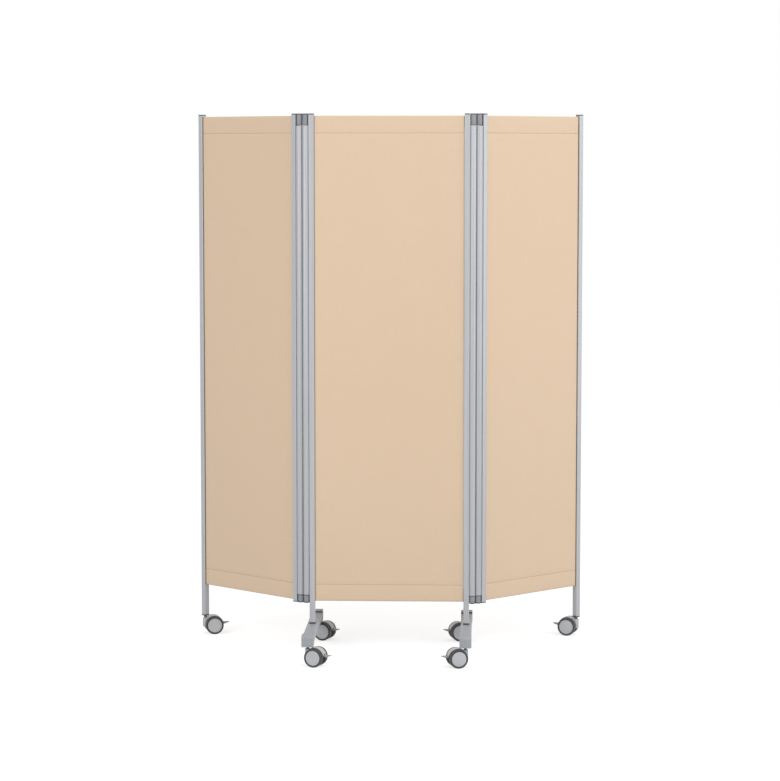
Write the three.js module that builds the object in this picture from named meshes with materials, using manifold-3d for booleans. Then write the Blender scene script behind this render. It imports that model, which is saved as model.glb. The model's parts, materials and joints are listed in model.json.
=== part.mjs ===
// Three-panel folding ward screen on twin-wheel castors.
// Millimetres, +Z up. The front of the centre panel faces -Y and both wings are folded towards the back.
import * as THREE from "three";
import { mergeVertices } from "three/addons/utils/BufferGeometryUtils.js";
import Module from "manifold-3d";

const wasm = await Module();
wasm.setup();

// Overall sizes
const HEIGHT = 1750; // floor to the top of the post caps
const HINGE_SPAN = 560; // between the two hinge lines of the centre panel
const WING_REACH = 470; // from a hinge line to the centre of the wing's outer post
const FOLD_LEFT = THREE.MathUtils.degToRad(41); // left wing, back from the plane of the centre panel
const FOLD_RIGHT = THREE.MathUtils.degToRad(44); // right wing, the same way

// Clearances
const SEAT_GAP = 0.3; // between pieces that are fixed to each other
const RUN_GAP = 0.5; // between pieces that turn on each other
const BEAD_GAP = 0.6; // between the round edges of two neighbouring posts
const OVERRUN = 2; // how far a cutter runs past the face that it cuts
const ROOT = 1; // how far a joined solid reaches into the one that carries it

// Posts: hollow extrusions, four of them with a round bead along the hinge side
const POST_WIDTH = 18;
const POST_DEPTH = 20;
const POST_WALL = 2;
const POST_CORNER = 4;
const BEAD_RADIUS = 10;
const BEAD_NECK = 8;
const SHORT_POST_BOTTOM = 163; // floor to the foot end of the two posts that end at the lower hinge

// Post caps
const CAP_THICKNESS = 3;

// Hinge links: two barrels side by side with a pin in each bead
const TOP_LINK_HEIGHT = 38;
const BOTTOM_LINK_HEIGHT = 26;
const LINK_WEB = 6;
const PIN_RADIUS = 4.5;
const PIN_LENGTH = 30;

// Cross rails: flat bars with round edges, let into the posts
const RAIL_HEIGHT = 36;
const RAIL_THICKNESS = 6;
const RAIL_INSERT = 6; // how far an end reaches past the face of its post

// Cloth panels with a pocket hem at the top and at the bottom
const CLOTH_THICKNESS = 1.6;
const CLOTH_TOP_DROP = 7; // from the top of the caps down to the cloth
const CLOTH_BOTTOM = 169; // floor to the lower edge of the cloth
const HEM_DEPTH = 55; // from the edge of the cloth to the hem seam
const HEM_GAP = 0.4; // between the cloth and the rail in its pocket
const CLOTH_SIDE_GAP = 1; // between the cloth and the posts

// Feet: a bar across each long post with a block over each castor
const FOOT_REACH = 225; // from the post to each castor stem
const FOOT_BAR_WIDTH = 34;
const FOOT_BAR_BOTTOM = 67;
const FOOT_BAR_TOP = 94;
const FOOT_BAR_CORNER = 5;
const BLOCK_WIDTH = 38;
const BLOCK_LENGTH = 46;
const BLOCK_TOP = 99;
const BLOCK_NOSE = 9; // rounding of the outer upper edge
const BLOCK_HEEL = 3; // rounding of the inner upper edge
const BLOCK_EDGE = 2; // chamfer of the sides
const MOUNT_HEIGHT = 63; // floor to the face that a castor is fixed under
const SPIGOT_HEIGHT = 40; // stub that stands inside the post
const COLLAR_THICKNESS = 5;
const COLLAR_RIM = 2; // how far the collar stands out round the post

// Castors: a stem, a hood that swivels on it, two wheels and a brake pedal
const WHEEL_RADIUS = 30;
const WHEEL_WIDTH = 19.5;
const WHEEL_TRAIL = 28; // from the stem to the axle
const WHEEL_SIDE_GAP = 1; // between a wheel and the hood
const TYRE_EDGE = 2.5; // rounding of the tyre's shoulders
const DISC_RADIUS = 23.5;
const DISC_RECESS = 0.8;
const DISC_LIP = 1; // width of the sloping edge round the disc
const AXLE_RADIUS = 4;
const AXLE_END_WALL = 4; // wheel wall left beyond the end of the axle
const HOOD_WIDTH = 17;
const HOOD_RADIUS = 30;
const HOOD_CORE_RADIUS = 14;
const HOOD_END = THREE.MathUtils.degToRad(15); // above the axle, on the side of the pedal
const HOOD_CORE_FROM = THREE.MathUtils.degToRad(215);
const HOOD_CORE_TO = THREE.MathUtils.degToRad(330);
const BOSS_RADIUS = 9;
const BOSS_BOTTOM = 24;
const BOSS_TOP = 55;
const STEM_RADIUS = 5;
const STEM_FLOOR = 34; // floor to the lower end of the stem
const STEM_RISE = 24; // how far the stem reaches up into what carries it
const STEM_FLANGE_RADIUS = 8;
const STEM_FLANGE = 1.5; // thickness of the washer on the stem
const PLUG_FLANGE = 3; // plate of the plug that closes an outer post's foot end
const PEDAL_PIVOT_OUT = 20; // from the axle out to the pedal's pin
const PEDAL_PIVOT_UP = 6; // from the axle up to the pedal's pin
const PEDAL_PIN_RADIUS = 2;
const PEDAL_PIN_INSET = 1; // from the side of the hood to the end of the pin
const PEDAL_BARREL = 4;
const PEDAL_WIDTH = 11;
const PEDAL_THICKNESS = 3.4;
const PEDAL_REACH = 80; // from the stem to the tip of the pedal
const PEDAL_PAD_START = 3; // from the rim of the wheel to the wide part
const PEDAL_PAD_WIDTH = 16;
const PEDAL_TIP_WIDTH = 12;
const PEDAL_TIP_CORNER = 3;
const PEDAL_ROOF_GAP = 1.5; // between the pedal and the hood above it

// Which way each castor trails, seen from above, counted from +X
const SWIVEL = {
  left_outer: THREE.MathUtils.degToRad(15),
  left_front: THREE.MathUtils.degToRad(-19),
  left_rear: THREE.MathUtils.degToRad(-19),
  right_front: THREE.MathUtils.degToRad(196),
  right_rear: THREE.MathUtils.degToRad(194),
  right_outer: THREE.MathUtils.degToRad(163),
};

// Steps of the round shapes
const CORNER_STEPS = 3;
const BEAD_STEPS = 18;
const BOSS_STEPS = 14;
const BORE_STEPS = 12;
const PIN_STEPS = 10;
const HOOD_STEPS = 10;
const WHEEL_STEPS = 20;
const NOSE_STEPS = 5;

// Places worked out from the sizes
const BEAD_PITCH = 2 * BEAD_RADIUS + BEAD_GAP;
const BEAD_BORE = PIN_RADIUS + SEAT_GAP;
const BEAD_OFFSET = POST_WIDTH / 2 + BEAD_RADIUS; // centre of a post to the centre of its bead
const CENTRE_BEAD_X = HINGE_SPAN / 2 - BEAD_PITCH / 2;
const CENTRE_POST_X = CENTRE_BEAD_X - BEAD_OFFSET;
const OUTER_POST_X = WING_REACH - BEAD_PITCH / 2; // from the wing's own bead
const POST_TOP = HEIGHT - CAP_THICKNESS - SEAT_GAP;
const TOP_LINK_BOTTOM = HEIGHT - TOP_LINK_HEIGHT;
const BOTTOM_LINK_TOP = SHORT_POST_BOTTOM + BOTTOM_LINK_HEIGHT;
const BEAD_TOP = TOP_LINK_BOTTOM - RUN_GAP;
const BEAD_BOTTOM = BOTTOM_LINK_TOP + RUN_GAP;
const CLOTH_TOP = HEIGHT - CLOTH_TOP_DROP;
const RAIL_EDGE = CLOTH_THICKNESS + HEM_GAP + RAIL_HEIGHT / 2; // edge of the cloth to the middle of the rail
const TOP_RAIL_Z = CLOTH_TOP - RAIL_EDGE;
const BOTTOM_RAIL_Z = CLOTH_BOTTOM + RAIL_EDGE;
const CAP_PLUG_BOTTOM = TOP_RAIL_Z + RAIL_HEIGHT / 2 + SEAT_GAP; // the plug ends just above the rail in the post
const COLLAR_BOTTOM = FOOT_BAR_TOP + SEAT_GAP;
const LONG_POST_BOTTOM = COLLAR_BOTTOM + COLLAR_THICKNESS + SEAT_GAP;
const OUTER_POST_BOTTOM = MOUNT_HEIGHT + PLUG_FLANGE + SEAT_GAP;
const PLUG_WIDTH = POST_WIDTH - 2 * (POST_WALL + SEAT_GAP);
const PLUG_DEPTH = POST_DEPTH - 2 * (POST_WALL + SEAT_GAP);
const PLUG_CORNER = POST_CORNER - POST_WALL;
const STEM_FLANGE_TOP = MOUNT_HEIGHT - SEAT_GAP;

// Materials
const ALUMINIUM = new THREE.MeshStandardMaterial({ color: 0xb4b6b9, roughness: 0.35, metalness: 1 });
const STEEL = new THREE.MeshStandardMaterial({ color: 0xa9abad, roughness: 0.3, metalness: 1 });
const FOOT_PAINT = new THREE.MeshStandardMaterial({ color: 0xa3a8ac, roughness: 0.45, metalness: 0.3 });
const HINGE_PLASTIC = new THREE.MeshStandardMaterial({ color: 0x8f9195, roughness: 0.5, metalness: 0 });
const CAP_PLASTIC = new THREE.MeshStandardMaterial({ color: 0x3b3d40, roughness: 0.55, metalness: 0 });
const HOOD_PLASTIC = new THREE.MeshStandardMaterial({ color: 0xb5b6b9, roughness: 0.4, metalness: 0 });
const TYRE_RUBBER = new THREE.MeshStandardMaterial({ color: 0x4a4c50, roughness: 0.7, metalness: 0 });
const PEDAL_PLASTIC = new THREE.MeshStandardMaterial({ color: 0xa0a2a5, roughness: 0.45, metalness: 0 });
const CLOTH = new THREE.MeshStandardMaterial({ color: 0xe3c6a5, roughness: 0.9, metalness: 0 });

// Points along an arc in a drawing plane, both ends included
function arc(x, y, radius, from, to, steps) {
  const points = [];
  for (let i = 0; i <= steps; i++) {
    const angle = from + ((to - from) * i) / steps;
    points.push(new THREE.Vector2(x + radius * Math.cos(angle), y + radius * Math.sin(angle)));
  }
  return points;
}

// Whole circle as an open list of points
function circle(x, y, radius, steps) {
  return arc(x, y, radius, 0, 2 * Math.PI, steps).slice(0, steps);
}

// Rectangle about a centre, with round corners
function roundedRect(x, y, width, height, radius, steps = CORNER_STEPS) {
  const dx = width / 2 - radius;
  const dy = height / 2 - radius;
  const quarter = Math.PI / 2;
  return [
    ...arc(x + dx, y + dy, radius, 0, quarter, steps),
    ...arc(x - dx, y + dy, radius, quarter, 2 * quarter, steps),
    ...arc(x - dx, y - dy, radius, 2 * quarter, 3 * quarter, steps),
    ...arc(x + dx, y - dy, radius, 3 * quarter, 4 * quarter, steps),
  ];
}

// Corners of a plain rectangle from its limits
function box(x0, x1, y0, y1) {
  return [
    new THREE.Vector2(x0, y0),
    new THREE.Vector2(x1, y0),
    new THREE.Vector2(x1, y1),
    new THREE.Vector2(x0, y1),
  ];
}

// Extrusion of an outline with holes, from one height to another in the outline's own frame
function prism(outline, from, to, holes = [], edge = 0) {
  const shape = new THREE.Shape(outline);
  shape.holes = holes.map((points) => new THREE.Path(points));
  const geometry = new THREE.ExtrudeGeometry(shape, {
    depth: to - from - 2 * edge,
    bevelEnabled: edge > 0,
    bevelThickness: edge,
    bevelSize: edge,
    bevelOffset: -edge,
    bevelSegments: 1,
  });
  return geometry.translate(0, 0, from + edge);
}

// The same with the outline drawn in Y and Z and the extrusion along X
function prismX(outline, from, to, holes, edge) {
  const turn = new THREE.Matrix4().makeBasis(
    new THREE.Vector3(0, 1, 0),
    new THREE.Vector3(0, 0, 1),
    new THREE.Vector3(1, 0, 0),
  );
  return prism(outline, from, to, holes, edge).applyMatrix4(turn);
}

// The same with the outline drawn in X and Z and the extrusion along Y, about the plane Y = 0
function prismY(outline, width, holes) {
  const turn = new THREE.Matrix4().makeBasis(
    new THREE.Vector3(1, 0, 0),
    new THREE.Vector3(0, 0, 1),
    new THREE.Vector3(0, -1, 0),
  );
  return prism(outline, -width / 2, width / 2, holes).applyMatrix4(turn);
}

// Upright round bar
function rod(x, y, radius, from, to, steps = PIN_STEPS) {
  return prism(circle(x, y, radius, steps), from, to);
}

// Closed geometry as a solid that can be cut and joined
function solid(geometry) {
  const bare = geometry.clone();
  bare.deleteAttribute("normal");
  bare.deleteAttribute("uv");
  const merged = mergeVertices(bare);
  return new wasm.Manifold(
    new wasm.Mesh({
      numProp: 3,
      vertProperties: Float32Array.from(merged.attributes.position.array),
      triVerts: Uint32Array.from(merged.index.array),
    }),
  );
}

// Joins the first list of geometries and cuts the second list away
function carve(joined, cut = []) {
  let body = solid(joined[0]);
  for (const piece of joined.slice(1)) {
    body = body.add(solid(piece));
  }
  for (const piece of cut) {
    body = body.subtract(solid(piece));
  }
  const mesh = body.getMesh();
  const geometry = new THREE.BufferGeometry();
  geometry.setAttribute("position", new THREE.BufferAttribute(mesh.vertProperties, 3));
  geometry.setIndex(new THREE.BufferAttribute(mesh.triVerts, 1));
  geometry.computeVertexNormals();
  return geometry;
}

// Adds a named mesh to a group
function add(group, name, geometry, material, x = 0, y = 0, turn = 0) {
  const mesh = new THREE.Mesh(geometry, material);
  mesh.name = name;
  mesh.position.set(x, y, 0);
  mesh.rotation.z = turn;
  group.add(mesh);
  return mesh;
}

// Nested group at a place, turned about the upright axis
function nest(parent, x, y, turn) {
  const group = new THREE.Group();
  group.position.set(x, y, 0);
  group.rotation.z = turn;
  parent.add(group);
  return group;
}

// Outline of a cross rail's section, in Y and Z, made larger all round by a clearance
function railOutline(z, clearance) {
  const thickness = RAIL_THICKNESS + 2 * clearance;
  return roundedRect(0, z, thickness, RAIL_HEIGHT + 2 * clearance, thickness / 2);
}

// Hollow post with its rail slots on the -X side and, on a hinge post, a bead on the +X side
function postGeometry(bottom, withBead) {
  const hollow = roundedRect(0, 0, POST_WIDTH - 2 * POST_WALL, POST_DEPTH - 2 * POST_WALL, PLUG_CORNER);
  const joined = [prism(roundedRect(0, 0, POST_WIDTH, POST_DEPTH, POST_CORNER), bottom, POST_TOP, [hollow])];
  if (withBead) {
    const lean = Math.asin(BEAD_NECK / 2 / BEAD_RADIUS);
    const bead = [
      new THREE.Vector2(POST_WIDTH / 2 - ROOT, -BEAD_NECK / 2),
      ...arc(BEAD_OFFSET, 0, BEAD_RADIUS, lean - Math.PI, Math.PI - lean, BEAD_STEPS),
      new THREE.Vector2(POST_WIDTH / 2 - ROOT, BEAD_NECK / 2),
    ];
    joined.push(prism(bead, BEAD_BOTTOM, BEAD_TOP, [circle(BEAD_OFFSET, 0, BEAD_BORE, BORE_STEPS)]));
  }
  const slots = [TOP_RAIL_Z, BOTTOM_RAIL_Z].map((z) =>
    prismX(railOutline(z, SEAT_GAP), -POST_WIDTH / 2 - OVERRUN, -POST_WIDTH / 2 + POST_WALL + OVERRUN),
  );
  return carve(joined, slots);
}

// Cap that closes a post: a thin plate with a plug below it
function capGeometry() {
  const plate = prism(roundedRect(0, 0, POST_WIDTH, POST_DEPTH, POST_CORNER), HEIGHT - CAP_THICKNESS, HEIGHT);
  const plug = prism(roundedRect(0, 0, PLUG_WIDTH, PLUG_DEPTH, PLUG_CORNER), CAP_PLUG_BOTTOM, HEIGHT - ROOT);
  return carve([plate, plug]);
}

// Hinge link from the centre panel's bead at the origin to the wing's bead along +X
function linkGeometry(bottom, top, pinFrom, pinTo) {
  const radius = BEAD_RADIUS - RUN_GAP;
  const web = box(0, BEAD_PITCH, -LINK_WEB / 2, LINK_WEB / 2);
  return carve([
    rod(0, 0, radius, bottom, top, BEAD_STEPS),
    rod(BEAD_PITCH, 0, radius, bottom, top, BEAD_STEPS),
    prism(web, bottom, top),
    rod(0, 0, PIN_RADIUS, pinFrom, pinTo),
    rod(BEAD_PITCH, 0, PIN_RADIUS, pinFrom, pinTo),
  ]);
}

// Cross rail between two post faces
function railGeometry(from, to, z) {
  return prismX(railOutline(z, 0), from - RAIL_INSERT, to + RAIL_INSERT);
}

// Cloth stretched between two post faces, folded into a pocket round each rail
function clothGeometry(from, to) {
  const sheet = CLOTH_THICKNESS / 2;
  const inner = RAIL_THICKNESS / 2 + HEM_GAP;
  const outer = inner + CLOTH_THICKNESS;
  const pocketEnd = RAIL_EDGE + RAIL_HEIGHT / 2;
  const outline = [
    ...arc(0, CLOTH_BOTTOM + outer, outer, Math.PI, 2 * Math.PI, NOSE_STEPS),
    new THREE.Vector2(outer, CLOTH_BOTTOM + pocketEnd),
    new THREE.Vector2(sheet, CLOTH_BOTTOM + HEM_DEPTH),
    new THREE.Vector2(sheet, CLOTH_TOP - HEM_DEPTH),
    new THREE.Vector2(outer, CLOTH_TOP - pocketEnd),
    ...arc(0, CLOTH_TOP - outer, outer, 0, Math.PI, NOSE_STEPS),
    new THREE.Vector2(-outer, CLOTH_TOP - pocketEnd),
    new THREE.Vector2(-sheet, CLOTH_TOP - HEM_DEPTH),
    new THREE.Vector2(-sheet, CLOTH_BOTTOM + HEM_DEPTH),
    new THREE.Vector2(-outer, CLOTH_BOTTOM + pocketEnd),
  ];
  const lowerPocket = [
    ...arc(0, CLOTH_BOTTOM + outer, inner, Math.PI, 2 * Math.PI, NOSE_STEPS),
    new THREE.Vector2(inner, CLOTH_BOTTOM + pocketEnd),
    new THREE.Vector2(0, CLOTH_BOTTOM + HEM_DEPTH - CLOTH_THICKNESS),
    new THREE.Vector2(-inner, CLOTH_BOTTOM + pocketEnd),
  ];
  const upperPocket = [
    ...arc(0, CLOTH_TOP - outer, inner, 0, Math.PI, NOSE_STEPS),
    new THREE.Vector2(-inner, CLOTH_TOP - pocketEnd),
    new THREE.Vector2(0, CLOTH_TOP - HEM_DEPTH + CLOTH_THICKNESS),
    new THREE.Vector2(inner, CLOTH_TOP - pocketEnd),
  ];
  return prismX(outline, from + CLOTH_SIDE_GAP, to - CLOTH_SIDE_GAP, [lowerPocket, upperPocket]);
}

// Foot: bar, castor block at each end and the spigot that carries the post
function footGeometry() {
  const barHeight = FOOT_BAR_TOP - FOOT_BAR_BOTTOM;
  const barOutline = roundedRect(
    0,
    FOOT_BAR_BOTTOM + barHeight / 2,
    FOOT_BAR_WIDTH,
    barHeight,
    FOOT_BAR_CORNER,
  );
  const half = BLOCK_LENGTH / 2;
  const blockOutline = [
    new THREE.Vector2(-half, MOUNT_HEIGHT),
    new THREE.Vector2(half, MOUNT_HEIGHT),
    ...arc(half - BLOCK_NOSE, BLOCK_TOP - BLOCK_NOSE, BLOCK_NOSE, 0, Math.PI / 2, NOSE_STEPS),
    ...arc(-half + BLOCK_HEEL, BLOCK_TOP - BLOCK_HEEL, BLOCK_HEEL, Math.PI / 2, Math.PI, CORNER_STEPS),
  ];
  const block = prismX(blockOutline, -BLOCK_WIDTH / 2, BLOCK_WIDTH / 2, [], BLOCK_EDGE);
  const spigotTop = LONG_POST_BOTTOM + SPIGOT_HEIGHT;
  const bore = rod(0, 0, STEM_RADIUS + SEAT_GAP, MOUNT_HEIGHT - OVERRUN, MOUNT_HEIGHT + STEM_RISE + SEAT_GAP);
  return carve(
    [
      prismY(barOutline, 2 * FOOT_REACH),
      block.clone().translate(0, FOOT_REACH, 0),
      block.clone().rotateZ(Math.PI).translate(0, -FOOT_REACH, 0),
      prism(roundedRect(0, 0, PLUG_WIDTH, PLUG_DEPTH, PLUG_CORNER), FOOT_BAR_TOP - ROOT, spigotTop),
    ],
    [bore.clone().translate(0, FOOT_REACH, 0), bore.clone().translate(0, -FOOT_REACH, 0)],
  );
}

// Collar between a foot and its post, slipped over the spigot
function collarGeometry() {
  const rim = 2 * COLLAR_RIM;
  const outline = roundedRect(0, 0, POST_WIDTH + rim, POST_DEPTH + rim, POST_CORNER + COLLAR_RIM);
  const gap = 2 * SEAT_GAP;
  const hole = roundedRect(0, 0, PLUG_WIDTH + gap, PLUG_DEPTH + gap, PLUG_CORNER);
  return prism(outline, COLLAR_BOTTOM, COLLAR_BOTTOM + COLLAR_THICKNESS, [hole]);
}

// Castor stem for a foot: a round stem with a flange
function stemPieces(top) {
  return [
    rod(0, 0, STEM_RADIUS, STEM_FLOOR, top),
    rod(0, 0, STEM_FLANGE_RADIUS, STEM_FLANGE_TOP - STEM_FLANGE, STEM_FLANGE_TOP, BOSS_STEPS),
  ];
}

// Castor stem for an outer post: the same under a plug that fills the post
function plugStemPieces() {
  const plate = roundedRect(0, 0, POST_WIDTH, POST_DEPTH, POST_CORNER);
  return [
    ...stemPieces(MOUNT_HEIGHT + ROOT),
    prism(plate, STEM_FLANGE_TOP, MOUNT_HEIGHT + PLUG_FLANGE),
    prism(roundedRect(0, 0, PLUG_WIDTH, PLUG_DEPTH, PLUG_CORNER), MOUNT_HEIGHT, MOUNT_HEIGHT + STEM_RISE),
  ];
}

// Wheel of a castor, standing off the hood along +Y, with a flat of its tread on the floor
function wheelGeometry() {
  const corner = 1 / Math.cos(Math.PI / WHEEL_STEPS);
  const inside = HOOD_WIDTH / 2 + WHEEL_SIDE_GAP;
  const outside = inside + WHEEL_WIDTH;
  const face = outside - DISC_RECESS;
  const bore = AXLE_RADIUS + SEAT_GAP;
  const profile = [
    [0, outside - AXLE_END_WALL],
    [bore, outside - AXLE_END_WALL],
    [bore, inside],
    [WHEEL_RADIUS - TYRE_EDGE, inside],
    [WHEEL_RADIUS, inside + TYRE_EDGE],
    [WHEEL_RADIUS, outside - TYRE_EDGE],
    [WHEEL_RADIUS - TYRE_EDGE, outside],
    [DISC_RADIUS + DISC_LIP, outside],
    [DISC_RADIUS, face],
    [0, face],
  ];
  const points = profile.map(([radius, along]) => new THREE.Vector2(radius * corner, along));
  const wheel = new THREE.LatheGeometry(points, WHEEL_STEPS, Math.PI / WHEEL_STEPS);
  return carve([wheel]);
}

// Hood of a castor: a plate between the wheels with the stem socket, the axle and the pedal's slot
function hoodGeometry() {
  const x = WHEEL_TRAIL;
  const z = WHEEL_RADIUS;
  const bossAngle = Math.PI - Math.asin((BOSS_TOP - z) / HOOD_RADIUS);
  const outline = [
    ...arc(x, z, HOOD_RADIUS, HOOD_END, bossAngle, HOOD_STEPS),
    new THREE.Vector2(0, BOSS_TOP),
    new THREE.Vector2(0, BOSS_BOTTOM),
    ...arc(x, z, HOOD_CORE_RADIUS, HOOD_CORE_FROM, HOOD_CORE_TO, CORNER_STEPS),
  ];
  const axle = new THREE.CylinderGeometry(
    AXLE_RADIUS,
    AXLE_RADIUS,
    HOOD_WIDTH + 2 * (WHEEL_SIDE_GAP + WHEEL_WIDTH - AXLE_END_WALL - SEAT_GAP),
    PIN_STEPS,
  ).translate(x, 0, z);
  const pinX = x + PEDAL_PIVOT_OUT;
  const pinZ = z + PEDAL_PIVOT_UP;
  const slotFrom = pinX - PEDAL_BARREL - RUN_GAP;
  const slotTop = pinZ + PEDAL_BARREL + PEDAL_ROOF_GAP;
  const slot = box(slotFrom, x + HOOD_RADIUS + OVERRUN, 0, slotTop);
  const pinHole = circle(pinX, pinZ, PEDAL_PIN_RADIUS + SEAT_GAP, BORE_STEPS);
  return carve(
    [
      prismY(outline, HOOD_WIDTH),
      rod(0, 0, BOSS_RADIUS, BOSS_BOTTOM, BOSS_TOP, BOSS_STEPS),
      axle,
    ],
    [
      rod(0, 0, STEM_RADIUS + SEAT_GAP, STEM_FLOOR - SEAT_GAP, BOSS_TOP + OVERRUN),
      prismY(slot, PEDAL_WIDTH + 2 * SEAT_GAP),
      prismY(pinHole, HOOD_WIDTH + OVERRUN),
    ],
  );
}

// Brake pedal: a barrel on its pin, an arm between the wheels and a wide pad beyond their rims
function pedalGeometry() {
  const pinX = WHEEL_TRAIL + PEDAL_PIVOT_OUT;
  const pinZ = WHEEL_RADIUS + PEDAL_PIVOT_UP;
  const low = pinZ - PEDAL_THICKNESS / 2;
  const high = pinZ + PEDAL_THICKNESS / 2;
  const padFrom = WHEEL_TRAIL + WHEEL_RADIUS + PEDAL_PAD_START;
  const side = PEDAL_PAD_WIDTH / 2;
  const tip = PEDAL_TIP_WIDTH / 2;
  const pad = [
    new THREE.Vector2(padFrom, -side),
    new THREE.Vector2(PEDAL_REACH - PEDAL_TIP_CORNER, -tip),
    new THREE.Vector2(PEDAL_REACH, -tip + PEDAL_TIP_CORNER),
    new THREE.Vector2(PEDAL_REACH, tip - PEDAL_TIP_CORNER),
    new THREE.Vector2(PEDAL_REACH - PEDAL_TIP_CORNER, tip),
    new THREE.Vector2(padFrom, side),
  ];
  return carve([
    prismY(circle(pinX, pinZ, PEDAL_BARREL, PIN_STEPS), PEDAL_WIDTH),
    prismY(box(pinX, padFrom + ROOT, low, high), PEDAL_WIDTH),
    prism(pad, low, high),
    prismY(circle(pinX, pinZ, PEDAL_PIN_RADIUS, PIN_STEPS), HOOD_WIDTH - 2 * PEDAL_PIN_INSET),
  ]);
}

// Whole castor below a carrier, trailing the given way
function addCastor(group, name, x, y, turn, stem) {
  add(group, "castor_stem_" + name, carve(stem), STEEL, x, y);
  const castor = nest(group, x, y, turn);
  const wheel = wheelGeometry();
  add(castor, "castor_hood_" + name, hoodGeometry(), HOOD_PLASTIC);
  for (const [side, half] of [["a", 0], ["b", Math.PI]]) {
    const mesh = add(castor, "castor_wheel_" + name + "_" + side, wheel, TYRE_RUBBER, WHEEL_TRAIL, 0, half);
    mesh.position.z = WHEEL_RADIUS;
  }
  add(castor, "brake_pedal_" + name, pedalGeometry(), PEDAL_PLASTIC);
}

// Cloth and rails of one panel between two post faces
function addPanel(group, name, from, to) {
  add(group, "cross_rail_top_" + name, railGeometry(from, to, TOP_RAIL_Z), ALUMINIUM);
  add(group, "cross_rail_bottom_" + name, railGeometry(from, to, BOTTOM_RAIL_Z), ALUMINIUM);
  add(group, "cloth_" + name, clothGeometry(from, to), CLOTH);
}

// Centre panel: two long posts on their feet, with cloth between them
function addCentre(screen) {
  for (const [name, side, turn] of [["left", -1, Math.PI], ["right", 1, 0]]) {
    const x = side * CENTRE_POST_X;
    add(screen, "post_centre_" + name, postGeometry(LONG_POST_BOTTOM, true), ALUMINIUM, x, 0, turn);
    add(screen, "post_cap_centre_" + name, capGeometry(), CAP_PLASTIC, x);
    add(screen, "foot_" + name, footGeometry(), FOOT_PAINT, x);
    add(screen, "foot_collar_" + name, collarGeometry(), CAP_PLASTIC, x);
    const stem = () => stemPieces(MOUNT_HEIGHT + STEM_RISE);
    addCastor(screen, name + "_front", x, -FOOT_REACH, SWIVEL[name + "_front"], stem());
    addCastor(screen, name + "_rear", x, FOOT_REACH, SWIVEL[name + "_rear"], stem());
  }
  const face = CENTRE_POST_X - POST_WIDTH / 2;
  addPanel(screen, "centre", -face, face);
}

// One wing with its hinge links; half is the turn of the links and again of the wing on them
function addWing(screen, name, side, half) {
  const start = side > 0 ? 0 : Math.PI;
  const links = nest(screen, side * CENTRE_BEAD_X, 0, start + half);
  const topPins = [TOP_LINK_BOTTOM - PIN_LENGTH, HEIGHT - ROOT];
  const bottomPins = [SHORT_POST_BOTTOM + ROOT, BOTTOM_LINK_TOP + PIN_LENGTH];
  add(links, "hinge_link_top_" + name, linkGeometry(TOP_LINK_BOTTOM, HEIGHT, ...topPins), HINGE_PLASTIC);
  add(
    links,
    "hinge_link_bottom_" + name,
    linkGeometry(SHORT_POST_BOTTOM, BOTTOM_LINK_TOP, ...bottomPins),
    HINGE_PLASTIC,
  );

  const wing = nest(links, BEAD_PITCH, 0, half);
  add(wing, "post_inner_" + name, postGeometry(SHORT_POST_BOTTOM, true), ALUMINIUM, BEAD_OFFSET, 0, Math.PI);
  add(wing, "post_cap_inner_" + name, capGeometry(), CAP_PLASTIC, BEAD_OFFSET);
  add(wing, "post_outer_" + name, postGeometry(OUTER_POST_BOTTOM, false), ALUMINIUM, OUTER_POST_X);
  add(wing, "post_cap_outer_" + name, capGeometry(), CAP_PLASTIC, OUTER_POST_X);
  addPanel(wing, name, BEAD_OFFSET + POST_WIDTH / 2, OUTER_POST_X - POST_WIDTH / 2);
  const castor = name + "_outer";
  addCastor(wing, castor, OUTER_POST_X, 0, SWIVEL[castor] - start - 2 * half, plugStemPieces());
}

// The whole screen, with its origin on the floor under the middle of what it covers
const screen = new THREE.Group();
screen.name = "ward_screen";
addCentre(screen);
addWing(screen, "left", -1, -FOLD_LEFT / 2);
addWing(screen, "right", 1, FOLD_RIGHT / 2);
screen.updateMatrixWorld(true);
const middle = new THREE.Box3().setFromObject(screen, true).getCenter(new THREE.Vector3());
screen.position.set(-middle.x, -middle.y, 0);

export default screen;
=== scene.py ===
"""Ward privacy screen on castors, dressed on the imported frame.

Three cloth panels hang between aluminium posts. The centre panel stands on two feet with four castors.
Each wing folds on double-pivot hinges and runs on a castor of its own. Every length is in metres.
"""

import sys
import json
import logging
import math
import random
from dataclasses import dataclass, field
from enum import Enum
from typing import Callable, Sequence

import bmesh
import bpy
from mathutils import Matrix, Vector

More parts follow.
